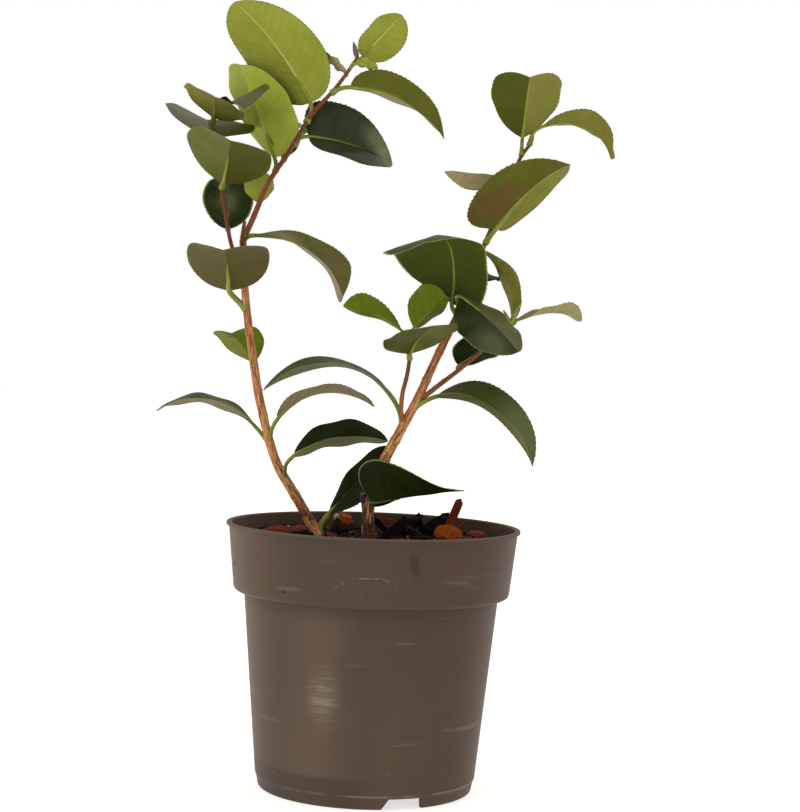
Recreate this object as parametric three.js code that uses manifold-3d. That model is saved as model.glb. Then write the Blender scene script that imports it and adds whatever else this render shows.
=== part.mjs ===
// A young camellia shrub with two stems, in its round nursery pot of potting mix and bark chips.
// Millimetres, +Z up. The origin is on the pot's axis, at the level that the pot stands on.
import * as THREE from "three";
import { mergeVertices } from "three/addons/utils/BufferGeometryUtils.js";
import Module from "manifold-3d";

const wasm = await Module();
wasm.setup();

// ---- Driving dimensions ------------------------------------------------------------------------

const CLEARANCE = 0.3; // between neighbouring solids
const ROOT = 6; // how far a stem's bar runs down before it is cut flat above the mix

const POT = {
  height: 134,
  rimRadius: 75,
  lipHeight: 1.6,
  bandTopRadius: 73.8,
  bandBottomRadius: 70.2,
  bandBottom: 99.5,
  bodyTopRadius: 64.9,
  bodyBottomRadius: 56.2,
  footRadius: 54.5,
  footHeight: 6.5,
  footWall: 3.6,
  wall: 1.5,
  floorThickness: 1.6,
  sides: 48,
};
const FOOT_NOTCH = { width: 22, slope: 3, height: 5.5, count: 4 };
const DRAIN_HOLE = { radius: 4.5, circle: 34, count: 6 };
const MIX_LEVEL = 126;
const CHIP = { count: 26, smallest: 3.2, largest: 8, thickness: 0.34, outerCircle: 62 };
const LEAF = { thickness: 1 / 75, thinnest: 0.4, steps: 8, stalkRadius: 1.0, stalkSides: 5, stalkSteps: 5 };

// ---- The plant's own measurements --------------------------------------------------------------

// Each limb runs through a few points. It starts from its parent limb `on`, at the share `at` of
// that limb's length, and tapers from its first radius to its second. A flare widens its foot.
const LIMBS = {
  left_stem: {
    points: [[-27, 18, 124], [-39, 17, 145], [-50, 15, 163], [-60, 11, 193], [-64, 9, 213], [-69, 6, 245],
      [-72, 4, 277]],
    radius: [2.7, 1.8],
    flare: 0.3,
  },
  left_leader: {
    on: "left_stem", at: 1,
    points: [[-68, 4, 286], [-60, 3, 306], [-50, 1, 324], [-41, 0, 341], [-28, -1, 356], [-17, -3, 370]],
    radius: [1.5, 0.9],
  },
  left_side: {
    on: "left_stem", at: 0.9,
    points: [[-77, 2, 272], [-80, 0, 284], [-83, 1, 299], [-86, 6, 318], [-90, 9, 336]],
    radius: [1.1, 0.8],
  },
  left_spur: {
    on: "left_stem", at: 0.96,
    points: [[-72, -1, 278], [-71, -2, 286]],
    radius: [1.2, 0.9],
  },
  right_stem: {
    points: [[-2, -4, 122], [-3, -5, 140], [0, -5, 157], [12, -5, 183], [19, -5, 197], [30, -3, 223],
      [40, 0, 245]],
    radius: [3.1, 1.8],
    flare: 0.2,
  },
  right_leader: {
    on: "right_stem", at: 1,
    points: [[45, 1, 262], [52, 2, 281], [62, 3, 307], [68, 3, 324], [72, 3, 330]],
    radius: [1.5, 0.9],
  },
  right_inner: {
    on: "right_stem", at: 0.52,
    points: [[12, -8, 191], [12, -10, 201], [14, -12, 211], [15, -12, 219]],
    radius: [1.2, 1.0],
  },
  right_outer: {
    on: "right_stem", at: 0.6,
    points: [[31, -6, 207], [43, -6, 217], [65, -4, 238]],
    radius: [1.3, 0.9],
  },
};

// The old cut stub that stands beside the right stem's foot.
const STUB = { foot: [-2.6, -5, 136], top: [-5.8, -4.8, 150.8], radius: [2.6, 2.0] };

// Each leaf leaves its limb `on` at the share `at` of its length. Its stalk reaches to the blade's
// foot, `stalk` mm away. The blade's chord points along `heading` (degrees from +X towards +Y) and
// `rise` (degrees above level). `arch` bends the midrib, `fold` lifts both halves, `cup` curls
// them, and `roll` turns the blade about its chord, with `twist` more of it from foot to tip.
const LEAVES = {
  leaf_left_foot: { on: "left_stem", at: 0.03, stalk: [3, -6, 10], heading: 338, rise: 47, length: 52,
    width: 22, arch: 20, fold: 15 },
  leaf_left_low_inner: { on: "left_stem", at: 0.22, stalk: [3, -10, 13], heading: 354, rise: 11, length: 49,
    width: 29, arch: 60, roll: 26, fold: 10 },
  leaf_left_low_outer: { on: "left_stem", at: 0.3, stalk: [-10, -1, 13], heading: 173, rise: 8, length: 54,
    width: 24, arch: 95, roll: -12, fold: 4 },
  leaf_left_mid_inner: { on: "left_stem", at: 0.345, stalk: [3, -6, 13], heading: 354, rise: 9, length: 50,
    width: 24, arch: 90, roll: 15, fold: 5 },
  leaf_left_back: { on: "left_stem", at: 0.62, stalk: [1, 6, 2], heading: 115, rise: 18, length: 32,
    width: 25, arch: 20, roll: -40, fold: 10 },
  leaf_left_front: { on: "left_stem", at: 0.78, stalk: [-9, -4, 9], heading: 270, rise: 20, length: 54,
    width: 45, arch: 15, roll: -3, fold: 4, cup: 0.3 },
  leaf_left_fork: { on: "left_leader", at: 0, stalk: [6, -3, 2], heading: 342, rise: -30, length: 56,
    width: 28, arch: 90, roll: -30, fold: 10, twist: -80, widest: 0.6, point: 0 },
  leaf_left_leader: { on: "left_leader", at: 0.18, stalk: [0, 5, 2], heading: 97, rise: 40, length: 24,
    width: 15, arch: 20, fold: 20 },
  leaf_right_foot: { on: "right_stem", at: 0.22, stalk: [-4, -4, 4], heading: 340, rise: -2, length: 51,
    width: 33, arch: 10, roll: -35, fold: 28, twist: 80, widest: 0.36 },
  leaf_right_long: { on: "right_stem", at: 0.5, stalk: [-3, -1, 13], heading: 190, rise: 1, length: 69,
    width: 26, arch: 112, roll: -15, fold: 5 },
  leaf_right_drooping: { on: "right_stem", at: 0.575, stalk: [11.5, -5.5, 7], heading: 348, rise: -33,
    length: 60, width: 28, arch: 122, roll: 38, fold: 5, twist: 24, point: 0.4 },
  leaf_right_knuckle: { on: "right_outer", at: 0.45, stalk: [0, 4, 2], heading: 50, rise: 20, length: 34,
    width: 24, arch: 20, roll: 20, fold: 15 },
  leaf_right_hanging: { on: "right_stem", at: 1, stalk: [0, -12, 6.2], heading: 325, rise: -38, length: 43,
    width: 36, arch: 20, roll: 14, fold: -35, widest: 0.44, point: 0 },
  leaf_right_broad: { on: "right_stem", at: 0.98, stalk: [-2.9, -0.3, 7], heading: 235, rise: 24, length: 59,
    width: 46, arch: 85, roll: 12, fold: 10, widest: 0.42 },
  leaf_right_tucked: { on: "right_leader", at: 0.2, stalk: [1, 5, 2], heading: 66, rise: 8, length: 23,
    width: 20, arch: 20, roll: 30, fold: 15 },
};

// Each mass of foliage is the last stretch of one limb, from the share `from` of its length, with
// its leaves and buds. A bud sits at the share `at` and points along its own heading and rise.
const MASSES = {
  foliage_left_leader: {
    limb: "left_leader",
    from: 0.32,
    buds: [{ at: 1, heading: 30, rise: 75, length: 9, radius: 1.5 }],
    leaves: [
      { at: 0.35, stalk: [0, 0, 7], heading: 174, rise: 66, length: 57, width: 46, arch: 10, roll: 64,
        fold: 12, widest: 0.48 },
      { at: 0.42, stalk: [-1, 6, 2], heading: 98, rise: 40, length: 44, width: 28, arch: 30, roll: 15,
        fold: 12 },
      { at: 0.5, stalk: [6, 4, 3], heading: 20, rise: -10, length: 49, width: 36, arch: 50, roll: 62,
        fold: 20, widest: 0.38 },
      { at: 0.56, stalk: [3, 6, 0], heading: 62, rise: -4, length: 46, width: 27, arch: 40, roll: 10,
        fold: 12 },
      { at: 0.62, stalk: [3, 3, 9], heading: 166, rise: 49, length: 66, width: 48, arch: 10, roll: 64,
        fold: 25, widest: 0.42 },
      { at: 0.8, stalk: [8, -2, 1], heading: 350, rise: -25, length: 57, width: 27, arch: 75, roll: -42,
        fold: 32 },
      { at: 0.86, stalk: [-2, 3, 2], heading: 150, rise: 42, length: 22, width: 9, arch: 10, roll: 40,
        fold: 10 },
      { at: 0.94, stalk: [2, 2, -1], heading: 15, rise: -8, length: 17, width: 10, arch: 30, roll: 20,
        fold: 10 },
      { at: 0.97, stalk: [4, 2, 3], heading: 15, rise: 45, length: 33, width: 23, arch: 5, roll: -110,
        fold: 20, widest: 0.52 },
    ],
  },
  foliage_left_side: {
    limb: "left_side",
    from: 0.24,
    buds: [],
    leaves: [
      { at: 0.3, stalk: [0, 4, 1], heading: 95, rise: 48, length: 38, width: 28, arch: 15, fold: 12,
        widest: 0.44 },
      { at: 0.56, stalk: [1, -3, 2], heading: 278, rise: 18, length: 54, width: 45, arch: 25, roll: -11,
        fold: 19 },
      { at: 0.85, stalk: [-5, 5, 3], heading: 96, rise: 17, length: 52, width: 50, arch: 20, roll: 12,
        fold: 12 },
      { at: 1, stalk: [1, -4, 2], heading: 275, rise: 8, length: 42, width: 36, arch: 10, roll: -22,
        fold: 8 },
      { at: 1, stalk: [2, -2, 5], heading: 292, rise: -4, length: 46, width: 40, arch: 40, fold: 30 },
    ],
  },
  foliage_right_leader: {
    limb: "right_leader",
    from: 0.37,
    buds: [{ at: 1, heading: 20, rise: 70, length: 7, radius: 1.3 }],
    leaves: [
      { at: 0.4, stalk: [5, -3, 7], heading: 312, rise: 30, length: 60, width: 38, arch: 60, roll: -36,
        fold: 28, widest: 0.38 },
      { at: 0.52, stalk: [1, 6, 2], heading: 78, rise: 14, length: 46, width: 27, arch: 30, fold: 12 },
      { at: 0.84, stalk: [-3, 1, -4], heading: 165, rise: 5, length: 34, width: 24, arch: 10, roll: 20,
        fold: -25 },
      { at: 0.93, stalk: [0, 0, 9], heading: 271, rise: 42, length: 42, width: 38, arch: 10, fold: 22,
        widest: 0.58, point: 0 },
      { at: 1, stalk: [5, 0, 9], heading: 338, rise: -23, length: 42, width: 20, arch: 118, roll: -66,
        fold: 20 },
    ],
  },
  foliage_right_inner: {
    limb: "right_inner",
    from: 0.84,
    buds: [],
    leaves: [
      { at: 1, stalk: [0, -3, 3], heading: 284, rise: 20, length: 40, width: 38, arch: 20, roll: 8,
        fold: 12 },
      { at: 1, stalk: [1, 2, 14], heading: 320, rise: 58, length: 27, width: 20, arch: 20, roll: -60,
        fold: 30 },
      { at: 1, stalk: [-2, 3, 12], heading: 189, rise: 27, length: 36, width: 21, arch: 50, roll: 45,
        fold: 20 },
    ],
  },
  foliage_right_outer: {
    limb: "right_outer",
    from: 0.84,
    buds: [{ at: 1, heading: 345, rise: 64, length: 14, radius: 1.4 }],
    leaves: [
      { at: 1, stalk: [2, 4, 3], heading: 197, rise: 60, length: 41, width: 16, arch: 80, roll: 12,
        fold: 10 },
      { at: 1, stalk: [4, 0, 3], heading: 346, rise: 5, length: 33, width: 18, arch: 40, roll: -8, fold: 15,
        twist: -90, widest: 0.66, point: -0.3 },
    ],
  },
};

// ---- Solids ------------------------------------------------------------------------------------

// A closed three.js geometry as a solid that can be joined and cut.
function solidOf(geometry) {
  const bare = geometry.clone();
  bare.deleteAttribute("normal");
  bare.deleteAttribute("uv");
  const merged = mergeVertices(bare, 1e-4);
  return new wasm.Manifold(
    new wasm.Mesh({
      numProp: 3,
      vertProperties: merged.attributes.position.array,
      triVerts: new Uint32Array(merged.index.array),
    }),
  );
}

function geometryOf(solid) {
  const mesh = solid.getMesh();
  const geometry = new THREE.BufferGeometry();
  geometry.setAttribute("position", new THREE.BufferAttribute(mesh.vertProperties, 3));
  geometry.setIndex(new THREE.BufferAttribute(mesh.triVerts, 1));
  geometry.computeVertexNormals();
  return geometry;
}

const joined = (solids) => solids.reduce((all, next) => all.add(next));

const vector = (p) => new THREE.Vector3(...p);

function direction(heading, rise) {
  const h = THREE.MathUtils.degToRad(heading);
  const r = THREE.MathUtils.degToRad(rise);
  return new THREE.Vector3(Math.cos(r) * Math.cos(h), Math.cos(r) * Math.sin(h), Math.sin(r));
}

// ---- Limbs -------------------------------------------------------------------------------------

// The point and direction at a length along a curve. Past its ends the curve runs on straight.
function alongCurve(curve, length) {
  const whole = curve.getLength();
  const share = THREE.MathUtils.clamp(length / whole, 0, 1);
  const tangent = curve.getTangentAt(share);
  const point = curve.getPointAt(share).addScaledVector(tangent, length - share * whole);
  return { point, tangent };
}

// A round bar bent along a curve between two lengths, as thick as radiusAt says at each length.
function bentBar(curve, start, end, radiusAt, sides, steps) {
  const bar = new THREE.CylinderGeometry(1, 1, 1, sides, steps);
  const chord = curve.getPoint(1).sub(curve.getPoint(0)).normalize();
  const across = Math.abs(chord.y) < 0.7 ? new THREE.Vector3(0, 1, 0) : new THREE.Vector3(1, 0, 0);
  const place = bar.attributes.position;
  for (let i = 0; i < place.count; i++) {
    const length = THREE.MathUtils.lerp(start, end, place.getY(i) + 0.5);
    const { point, tangent } = alongCurve(curve, length);
    const u = across.clone().addScaledVector(tangent, -across.dot(tangent)).normalize();
    const v = new THREE.Vector3().crossVectors(u, tangent);
    const radius = radiusAt(length);
    point.addScaledVector(u, place.getX(i) * radius).addScaledVector(v, place.getZ(i) * radius);
    place.setXYZ(i, point.x, point.y, point.z);
  }
  return solidOf(bar);
}

const curves = {};
for (const [name, limb] of Object.entries(LIMBS)) {
  const points = limb.points.map(vector);
  if (limb.on) points.unshift(curves[limb.on].getPointAt(limb.at));
  curves[name] = new THREE.CatmullRomCurve3(points);
}

function limbRadius(name, length) {
  const { radius, flare = 0 } = LIMBS[name];
  const share = THREE.MathUtils.clamp(length / curves[name].getLength(), 0, 1);
  return THREE.MathUtils.lerp(...radius, share) * (1 + flare * Math.exp(-Math.max(length, 0) / 6));
}

// One stretch of a limb, between two shares of its length, and `spare` larger all over.
function limbSolid(name, from, to, spare = 0) {
  const length = curves[name].getLength();
  const steps = Math.max(3, Math.round(((to - from) * length) / 9));
  const thickness = (at) => limbRadius(name, at) + spare;
  const start = LIMBS[name].on ? from * length - spare : -ROOT;
  const bar = bentBar(curves[name], start, to * length + spare, thickness, 8, steps);
  return bar.trimByPlane([0, 0, 1], MIX_LEVEL + CLEARANCE - spare);
}

// ---- Leaves and buds ---------------------------------------------------------------------------

// Half the blade's width at the share u of its length, as a share of its greatest half width.
function outline(u, widest, point) {
  const bulge = Math.sin(Math.PI * u ** (Math.log(0.5) / Math.log(widest))) ** 0.7;
  const tip = THREE.MathUtils.smoothstep(u, 0.78, 1);
  return Math.max(bulge * (1 - point * tip), 0.03);
}

// How far a bend of so many degrees over a chord carries the midrib: along it, off it, and turned.
function bend(chord, degrees, u) {
  const whole = THREE.MathUtils.degToRad(degrees);
  if (Math.abs(whole) < 1e-3) return { along: chord * u, off: 0, turn: 0 };
  const radius = chord / (2 * Math.sin(whole / 2));
  const turn = whole / 2 - u * whole;
  return {
    along: radius * (Math.sin(whole / 2) - Math.sin(turn)),
    off: radius * (Math.cos(turn) - Math.cos(whole / 2)),
    turn,
  };
}

// A point of the blade: u runs from its foot to its tip, t from its right margin (-1) to its left
// margin (1), and `above` is the height over its middle surface.
function bladePoint(leaf, foot, u, t, above) {
  const { length, width, arch, roll = 0, fold, twist = 0, cup = 0, widest = 0.46, point = 0.25 } = leaf;
  const along = direction(leaf.heading, leaf.rise);
  const up = new THREE.Vector3(0, 0, 1).addScaledVector(along, -along.z).normalize();
  const turned = (degrees) => up.clone().applyAxisAngle(along, THREE.MathUtils.degToRad(degrees));
  const midrib = bend(length, arch, u);
  const half = (width / 2) * outline(u, widest, point);
  const lift = THREE.MathUtils.degToRad(fold);
  const rolled = turned(roll + twist * (u - 0.5));
  const left = new THREE.Vector3().crossVectors(rolled, along);
  const face = rolled.multiplyScalar(Math.cos(midrib.turn)).addScaledVector(along, -Math.sin(midrib.turn));
  const height = half * Math.abs(t) * Math.sin(lift) + (cup * (half * t) ** 2) / (width / 2);
  return foot
    .clone()
    .addScaledVector(along, midrib.along)
    .addScaledVector(turned(roll), midrib.off)
    .addScaledVector(left, half * t * Math.cos(lift))
    .addScaledVector(face, height + above);
}

// Splits the quads of a box's under side along the same diagonals as its upper side's, so that a
// twisted blade keeps its thickness.
function matchDiagonals(box) {
  const under = box.groups[5];
  for (let i = under.start; i < under.start + under.count; i += 6) {
    box.index.setX(i + 2, box.index.getX(i + 4));
    box.index.setX(i + 3, box.index.getX(i));
  }
}

function leafSolid(leaf, limb) {
  const node = alongCurve(curves[limb], leaf.at * curves[limb].getLength()).point;
  const foot = node.clone().add(vector(leaf.stalk));

  const blade = new THREE.BoxGeometry(2, 1, 1, 2, LEAF.steps, 1);
  matchDiagonals(blade);
  const thickness = Math.max(leaf.length * LEAF.thickness, LEAF.thinnest);
  const place = blade.attributes.position;
  for (let i = 0; i < place.count; i++) {
    const u = 0.5 - 0.5 * Math.cos(Math.PI * (place.getY(i) + 0.5));
    const p = bladePoint(leaf, foot, u, -place.getX(i), place.getZ(i) * thickness);
    place.setXYZ(i, p.x, p.y, p.z);
  }

  const sunk = bladePoint(leaf, foot, 0.14, 0, -thickness / 3);
  const start = bladePoint(leaf, foot, 0.02, 0, 0).sub(foot).normalize();
  const bendPoint = foot.clone().addScaledVector(start, -0.45 * vector(leaf.stalk).length());
  const middle = new THREE.QuadraticBezierCurve3(node, bendPoint, foot).getPoint(0.5);
  const stalk = new THREE.CatmullRomCurve3([node, middle, foot, sunk]);
  const whole = stalk.getLength();
  const radiusAt = (at) => LEAF.stalkRadius * THREE.MathUtils.lerp(1, 0.55, at / whole);
  return solidOf(blade).add(bentBar(stalk, 0, whole, radiusAt, LEAF.stalkSides, LEAF.stalkSteps));
}

function budSolid(bud, limb) {
  const foot = alongCurve(curves[limb], bud.at * curves[limb].getLength()).point;
  const axis = new THREE.LineCurve3(foot, foot.clone().addScaledVector(direction(bud.heading, bud.rise), bud.length));
  const spindle = (at) => Math.max(bud.radius * Math.sin(Math.PI * (0.3 + (0.7 * at) / bud.length)), 0.12);
  return bentBar(axis, 0, bud.length, spindle, 6, 4);
}

// ---- Pot and potting mix -----------------------------------------------------------------------

// The radius of the pot's outer or inner wall at a height, on the straight runs of its profile.
const onLine = (z, z0, r0, z1, r1) => r0 + ((r1 - r0) * (z - z0)) / (z1 - z0);
const bodyRadius = (z) => onLine(z, POT.footHeight, POT.bodyBottomRadius, POT.bandBottom, POT.bodyTopRadius);
const bandRadius = (z) => onLine(z, POT.bandBottom, POT.bandBottomRadius, POT.height, POT.bandTopRadius);
const floorTop = POT.footHeight + POT.floorThickness;
const shoulder = POT.bandBottom + POT.wall; // the inner step, where the band stands out from the body

function turnedSolid(profile) {
  const lathe = new THREE.LatheGeometry(profile.map(([r, z]) => new THREE.Vector2(r, z)), POT.sides);
  return solidOf(lathe.rotateX(Math.PI / 2));
}

function potSolid() {
  const { wall, height, footRadius, footHeight, footWall, rimRadius, lipHeight, bandBottom } = POT;
  const pot = turnedSolid([
    [0, footHeight],
    [footRadius - footWall - 0.6, footHeight],
    [footRadius - footWall, 0],
    [footRadius - 1, 0],
    [footRadius, 1],
    [POT.bodyBottomRadius - 0.8, footHeight - 0.6],
    [POT.bodyBottomRadius, footHeight],
    [POT.bodyTopRadius, bandBottom],
    [POT.bandBottomRadius - 1.2, bandBottom],
    [POT.bandBottomRadius, bandBottom + 1.2],
    [bandRadius(height - lipHeight), height - lipHeight],
    [rimRadius, height - lipHeight],
    [rimRadius, height - 0.3],
    [rimRadius - 0.3, height],
    [bandRadius(height) - wall, height],
    [bandRadius(shoulder) - wall, shoulder],
    [bodyRadius(shoulder) - wall, shoulder],
    [bodyRadius(floorTop) - wall, floorTop],
    [0, floorTop],
  ]);
  const { width, slope, height: tall } = FOOT_NOTCH;
  const notch = new THREE.Shape([
    new THREE.Vector2(-width / 2, -1),
    new THREE.Vector2(width / 2, -1),
    new THREE.Vector2(width / 2, tall),
    new THREE.Vector2(slope - width / 2, tall),
  ]);
  const cuts = [];
  for (let i = 0; i < FOOT_NOTCH.count; i++) {
    const cut = new THREE.ExtrudeGeometry(notch, { depth: 2 * footWall + 4, bevelEnabled: false });
    cut.rotateX(Math.PI / 2).translate(0, footWall + 4 - footRadius, 0);
    cuts.push(solidOf(cut.rotateZ((i * 2 * Math.PI) / FOOT_NOTCH.count)));
  }
  for (let i = 0; i < DRAIN_HOLE.count; i++) {
    const hole = new THREE.CylinderGeometry(DRAIN_HOLE.radius, DRAIN_HOLE.radius, 10, 16);
    hole.rotateX(Math.PI / 2).translate(DRAIN_HOLE.circle, 0, footHeight);
    cuts.push(solidOf(hole.rotateZ(((i + 0.5) * 2 * Math.PI) / DRAIN_HOLE.count)));
  }
  return cuts.reduce((all, cut) => all.subtract(cut), pot);
}

// Bark chips lie about on the potting mix, clear of the stems.
function chipSolids() {
  let seed = 7;
  const random = () => {
    seed = (seed * 16807) % 2147483647;
    return seed / 2147483647;
  };
  const flake = (size, thickness, x, y, turn, tilt, z) => {
    const chip = new THREE.IcosahedronGeometry(1, 0).scale(size, size * 0.6, thickness);
    return solidOf(chip.rotateX(tilt).rotateZ(turn).translate(x, y, z));
  };
  const chips = [flake(7, 3, 23.5, 14, 0.3, 0.1, 127.5)];
  chips.push(flake(9.5, 1.8, 0, 0, 0, 0, 0).rotate([8, -80, 35]).translate([29, 22, 132.5]));
  while (chips.length < CHIP.count) {
    const size = THREE.MathUtils.lerp(CHIP.smallest, CHIP.largest, random());
    const turn = random() * 2 * Math.PI;
    const reach = CHIP.outerCircle * Math.sqrt(random());
    const [x, y] = [reach * Math.cos(turn), reach * Math.sin(turn)];
    const tilt = 0.8 * (random() - 0.5);
    const spin = random() * Math.PI;
    const nearStem = ["left_stem", "right_stem"].some((stem) => {
      const [footX, footY] = LIMBS[stem].points[0];
      return Math.hypot(x - footX, y - footY) < size + 5;
    });
    if (!nearStem) chips.push(flake(size, size * CHIP.thickness, x, y, spin, tilt, MIX_LEVEL));
  }
  return chips;
}

function mixSolid() {
  const inner = POT.wall + CLEARANCE;
  const mix = turnedSolid([
    [0, floorTop + CLEARANCE],
    [bodyRadius(floorTop) - inner, floorTop + CLEARANCE],
    [bodyRadius(shoulder) - inner, shoulder + CLEARANCE],
    [bandRadius(shoulder) - inner, shoulder + CLEARANCE],
    [bandRadius(MIX_LEVEL - 1) - inner, MIX_LEVEL - 1],
    [bandRadius(MIX_LEVEL) - inner - 4, MIX_LEVEL],
    [0, MIX_LEVEL],
  ]);
  return joined([mix, ...chipSolids()]);
}

// ---- Assembly ----------------------------------------------------------------------------------

const BARK = { color: 0x9a6a45, roughness: 0.75 };
const FOLIAGE = { color: 0x4c6428, roughness: 0.4 };

const group = new THREE.Group();
group.name = "camellia_shrub";

function addPiece(name, solid, finish) {
  const mesh = new THREE.Mesh(geometryOf(solid), new THREE.MeshStandardMaterial({ ...finish, metalness: 0 }));
  mesh.name = name;
  group.add(mesh);
}

addPiece("pot", potSolid(), { color: 0x5c4d42, roughness: 0.55 });
addPiece("potting_mix", mixSolid(), { color: 0x2a1f18, roughness: 0.95 });

// A limb ends where its mass of foliage begins, and keeps clear of the limb that carries it.
const limbEnds = {};
for (const mass of Object.values(MASSES)) limbEnds[mass.limb] = mass.from;
const spaces = {};
for (const [name, limb] of Object.entries(LIMBS)) {
  const end = limbEnds[name] ?? 1;
  let solid = limbSolid(name, 0, end);
  if (limb.on) solid = solid.subtract(spaces[limb.on]);
  if (name === "right_stem") {
    const stub = new THREE.LineCurve3(vector(STUB.foot), vector(STUB.top));
    const height = stub.getLength();
    solid = solid.add(bentBar(stub, 0, height, (at) => THREE.MathUtils.lerp(...STUB.radius, at / height), 7, 2));
  }
  spaces[name] = limbSolid(name, 0, end, CLEARANCE);
  addPiece(name, solid, BARK);
}

const clearOfLimbs = (solid) => Object.values(spaces).reduce((rest, space) => rest.subtract(space), solid);

for (const [name, leaf] of Object.entries(LEAVES)) {
  addPiece(name, clearOfLimbs(leafSolid(leaf, leaf.on)), FOLIAGE);
}

for (const [name, mass] of Object.entries(MASSES)) {
  const twig = limbSolid(mass.limb, mass.from, 1);
  const leaves = mass.leaves.map((leaf) => leafSolid(leaf, mass.limb));
  const buds = mass.buds.map((bud) => budSolid(bud, mass.limb));
  addPiece(name, clearOfLimbs(joined([twig, ...leaves, ...buds])), FOLIAGE);
}

export default group;
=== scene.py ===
import math

import bmesh
import bpy
import numpy as np
from mathutils import Matrix, Vector, noise


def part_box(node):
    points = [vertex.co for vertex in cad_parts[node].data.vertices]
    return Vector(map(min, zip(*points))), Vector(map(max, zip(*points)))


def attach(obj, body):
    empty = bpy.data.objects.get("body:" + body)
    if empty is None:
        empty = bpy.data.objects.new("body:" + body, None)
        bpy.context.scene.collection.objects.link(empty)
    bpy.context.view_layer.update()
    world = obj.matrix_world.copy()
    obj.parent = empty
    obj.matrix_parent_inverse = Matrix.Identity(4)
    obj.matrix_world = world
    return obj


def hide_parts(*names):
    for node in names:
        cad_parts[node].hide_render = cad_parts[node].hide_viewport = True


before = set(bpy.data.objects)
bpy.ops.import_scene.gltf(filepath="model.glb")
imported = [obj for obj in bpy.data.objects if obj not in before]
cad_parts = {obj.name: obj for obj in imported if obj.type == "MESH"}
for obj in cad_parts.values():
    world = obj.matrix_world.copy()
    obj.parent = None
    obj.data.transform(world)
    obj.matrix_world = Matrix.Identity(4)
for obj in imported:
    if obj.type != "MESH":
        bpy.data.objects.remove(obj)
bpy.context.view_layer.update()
MM = 0.001


# ---- The view ----------------------------------------------------------------------------------
# The plant is looked at from a metre in front, at the height of its lowest leaves, with the view
# turned a little downwards, a little towards +X and a little clockwise.

eye = Vector((0, -1, 0.227))
pan = math.radians(0.64)
downward = math.radians(1.83)
tilt = math.radians(2.14)
ahead = Vector((math.sin(pan) * math.cos(downward), math.cos(pan) * math.cos(downward), -math.sin(downward)))
level = Vector((math.cos(pan), -math.sin(pan), 0))
upward = level.cross(ahead)
across = level * math.cos(tilt) + upward * math.sin(tilt)
upright = upward * math.cos(tilt) - level * math.sin(tilt)

camera = bpy.data.objects.new("view", bpy.data.cameras.new("view"))
camera.data.lens = 87
camera.data.sensor_width = 36
camera.matrix_world = Matrix((across, upright, -ahead)).transposed().to_4x4()
camera.location = eye
bpy.context.collection.objects.link(camera)
bpy.context.scene.camera = camera


# ---- The studio --------------------------------------------------------------------------------
# A wide white floor in front of white surroundings. Large soft lamps stand high on the left, on
# the right and behind, and the room in front of the plant is dimmer, as a studio is.


class Value:
    """A socket of a node tree. Arithmetic on it adds Math nodes to the tree."""

    def __init__(self, nodes, socket):
        self.nodes = nodes
        self.socket = socket

    def math(self, operation, *others):
        return self.nodes.add("ShaderNodeMath", dict(enumerate((self, *others))), operation=operation)

    def __abs__(self):
        return self.math("ABSOLUTE")

    def __add__(self, other):
        return self.math("ADD", other)

    def __sub__(self, other):
        return self.math("SUBTRACT", other)

    def __rsub__(self, other):
        return self.nodes.add("ShaderNodeMath", {0: other, 1: self}, operation="SUBTRACT")

    def __mul__(self, other):
        return self.math("MULTIPLY", other)

    def __truediv__(self, other):
        return self.math("DIVIDE", other)

    def __pow__(self, other):
        return self.math("POWER", other)

    __radd__ = __add__
    __rmul__ = __mul__

    def rise(self, low, high):
        """0 below low and 1 above high, with a smooth step between them, or the other way round."""
        between = {"Value": self, "From Min": low, "From Max": high}
        return self.nodes.add("ShaderNodeMapRange", between, interpolation_type="SMOOTHSTEP")

    def other(self, name):
        """Another output of the same node."""
        return Value(self.nodes, self.socket.node.outputs[name])


class Nodes:
    """A node tree that is written from code."""

    def __init__(self, tree):
        self.tree = tree

    def add(self, kind, inputs=(), output=0, **settings):
        node = self.tree.nodes.new(kind)
        for name, setting in settings.items():
            setattr(node, name, setting)
        for name, value in dict(inputs).items():
            self.plug(node.inputs[name], value)
        return Value(self, node.outputs[output])

    def plug(self, socket, value):
        if isinstance(value, Value):
            self.tree.links.new(value.socket, socket)
        else:
            socket.default_value = value

    def mix(self, factor, first, second):
        """The first colour where factor is 0, and the second where it is 1."""
        return self.add("ShaderNodeMix", {0: factor, 6: first, 7: second}, output=2, data_type="RGBA")

    def paint(self, base, *coats):
        """The base colour under coats of paint. A coat is where it lies, then its colour."""
        for where, *paint in coats:
            base = self.mix(where, base, colour(*paint))
        return base

    def part(self, vector, name):
        """One of the three numbers of a vector."""
        return self.add("ShaderNodeSeparateXYZ", {0: vector}, output=name)


def colour(red, green, blue):
    """A colour given by its screen values from 0 to 255."""
    channels = [c / 255 for c in (red, green, blue)]
    return tuple(c / 12.92 if c <= 0.04045 else ((c + 0.055) / 1.055) ** 2.4 for c in channels) + (1.0,)


def link(thing):
    """Puts an object in the scene."""
    bpy.context.collection.objects.link(thing)
    return thing


bpy.context.scene.view_settings.view_transform = "Standard"

world = bpy.data.worlds.new("studio")
bpy.context.scene.world = world
world.use_nodes = True
surroundings = Nodes(world.node_tree)
outward = surroundings.add("ShaderNodeTexCoord", output="Generated")
behind_plant = surroundings.part(outward, "Y").rise(-0.35, 0.6)
overhead = surroundings.part(outward, "Z").rise(0.0, 0.9)
glow = 0.56 + 0.04 * behind_plant + 0.1 * overhead
seen = surroundings.add("ShaderNodeLightPath", output="Is Camera Ray")
backdrop = surroundings.tree.nodes["Background"].inputs
surroundings.plug(backdrop["Color"], surroundings.mix(seen, (1, 0.94, 0.82, 1), (1, 1, 1, 1)))
surroundings.plug(backdrop["Strength"], seen.math("MAXIMUM", glow))


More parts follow.
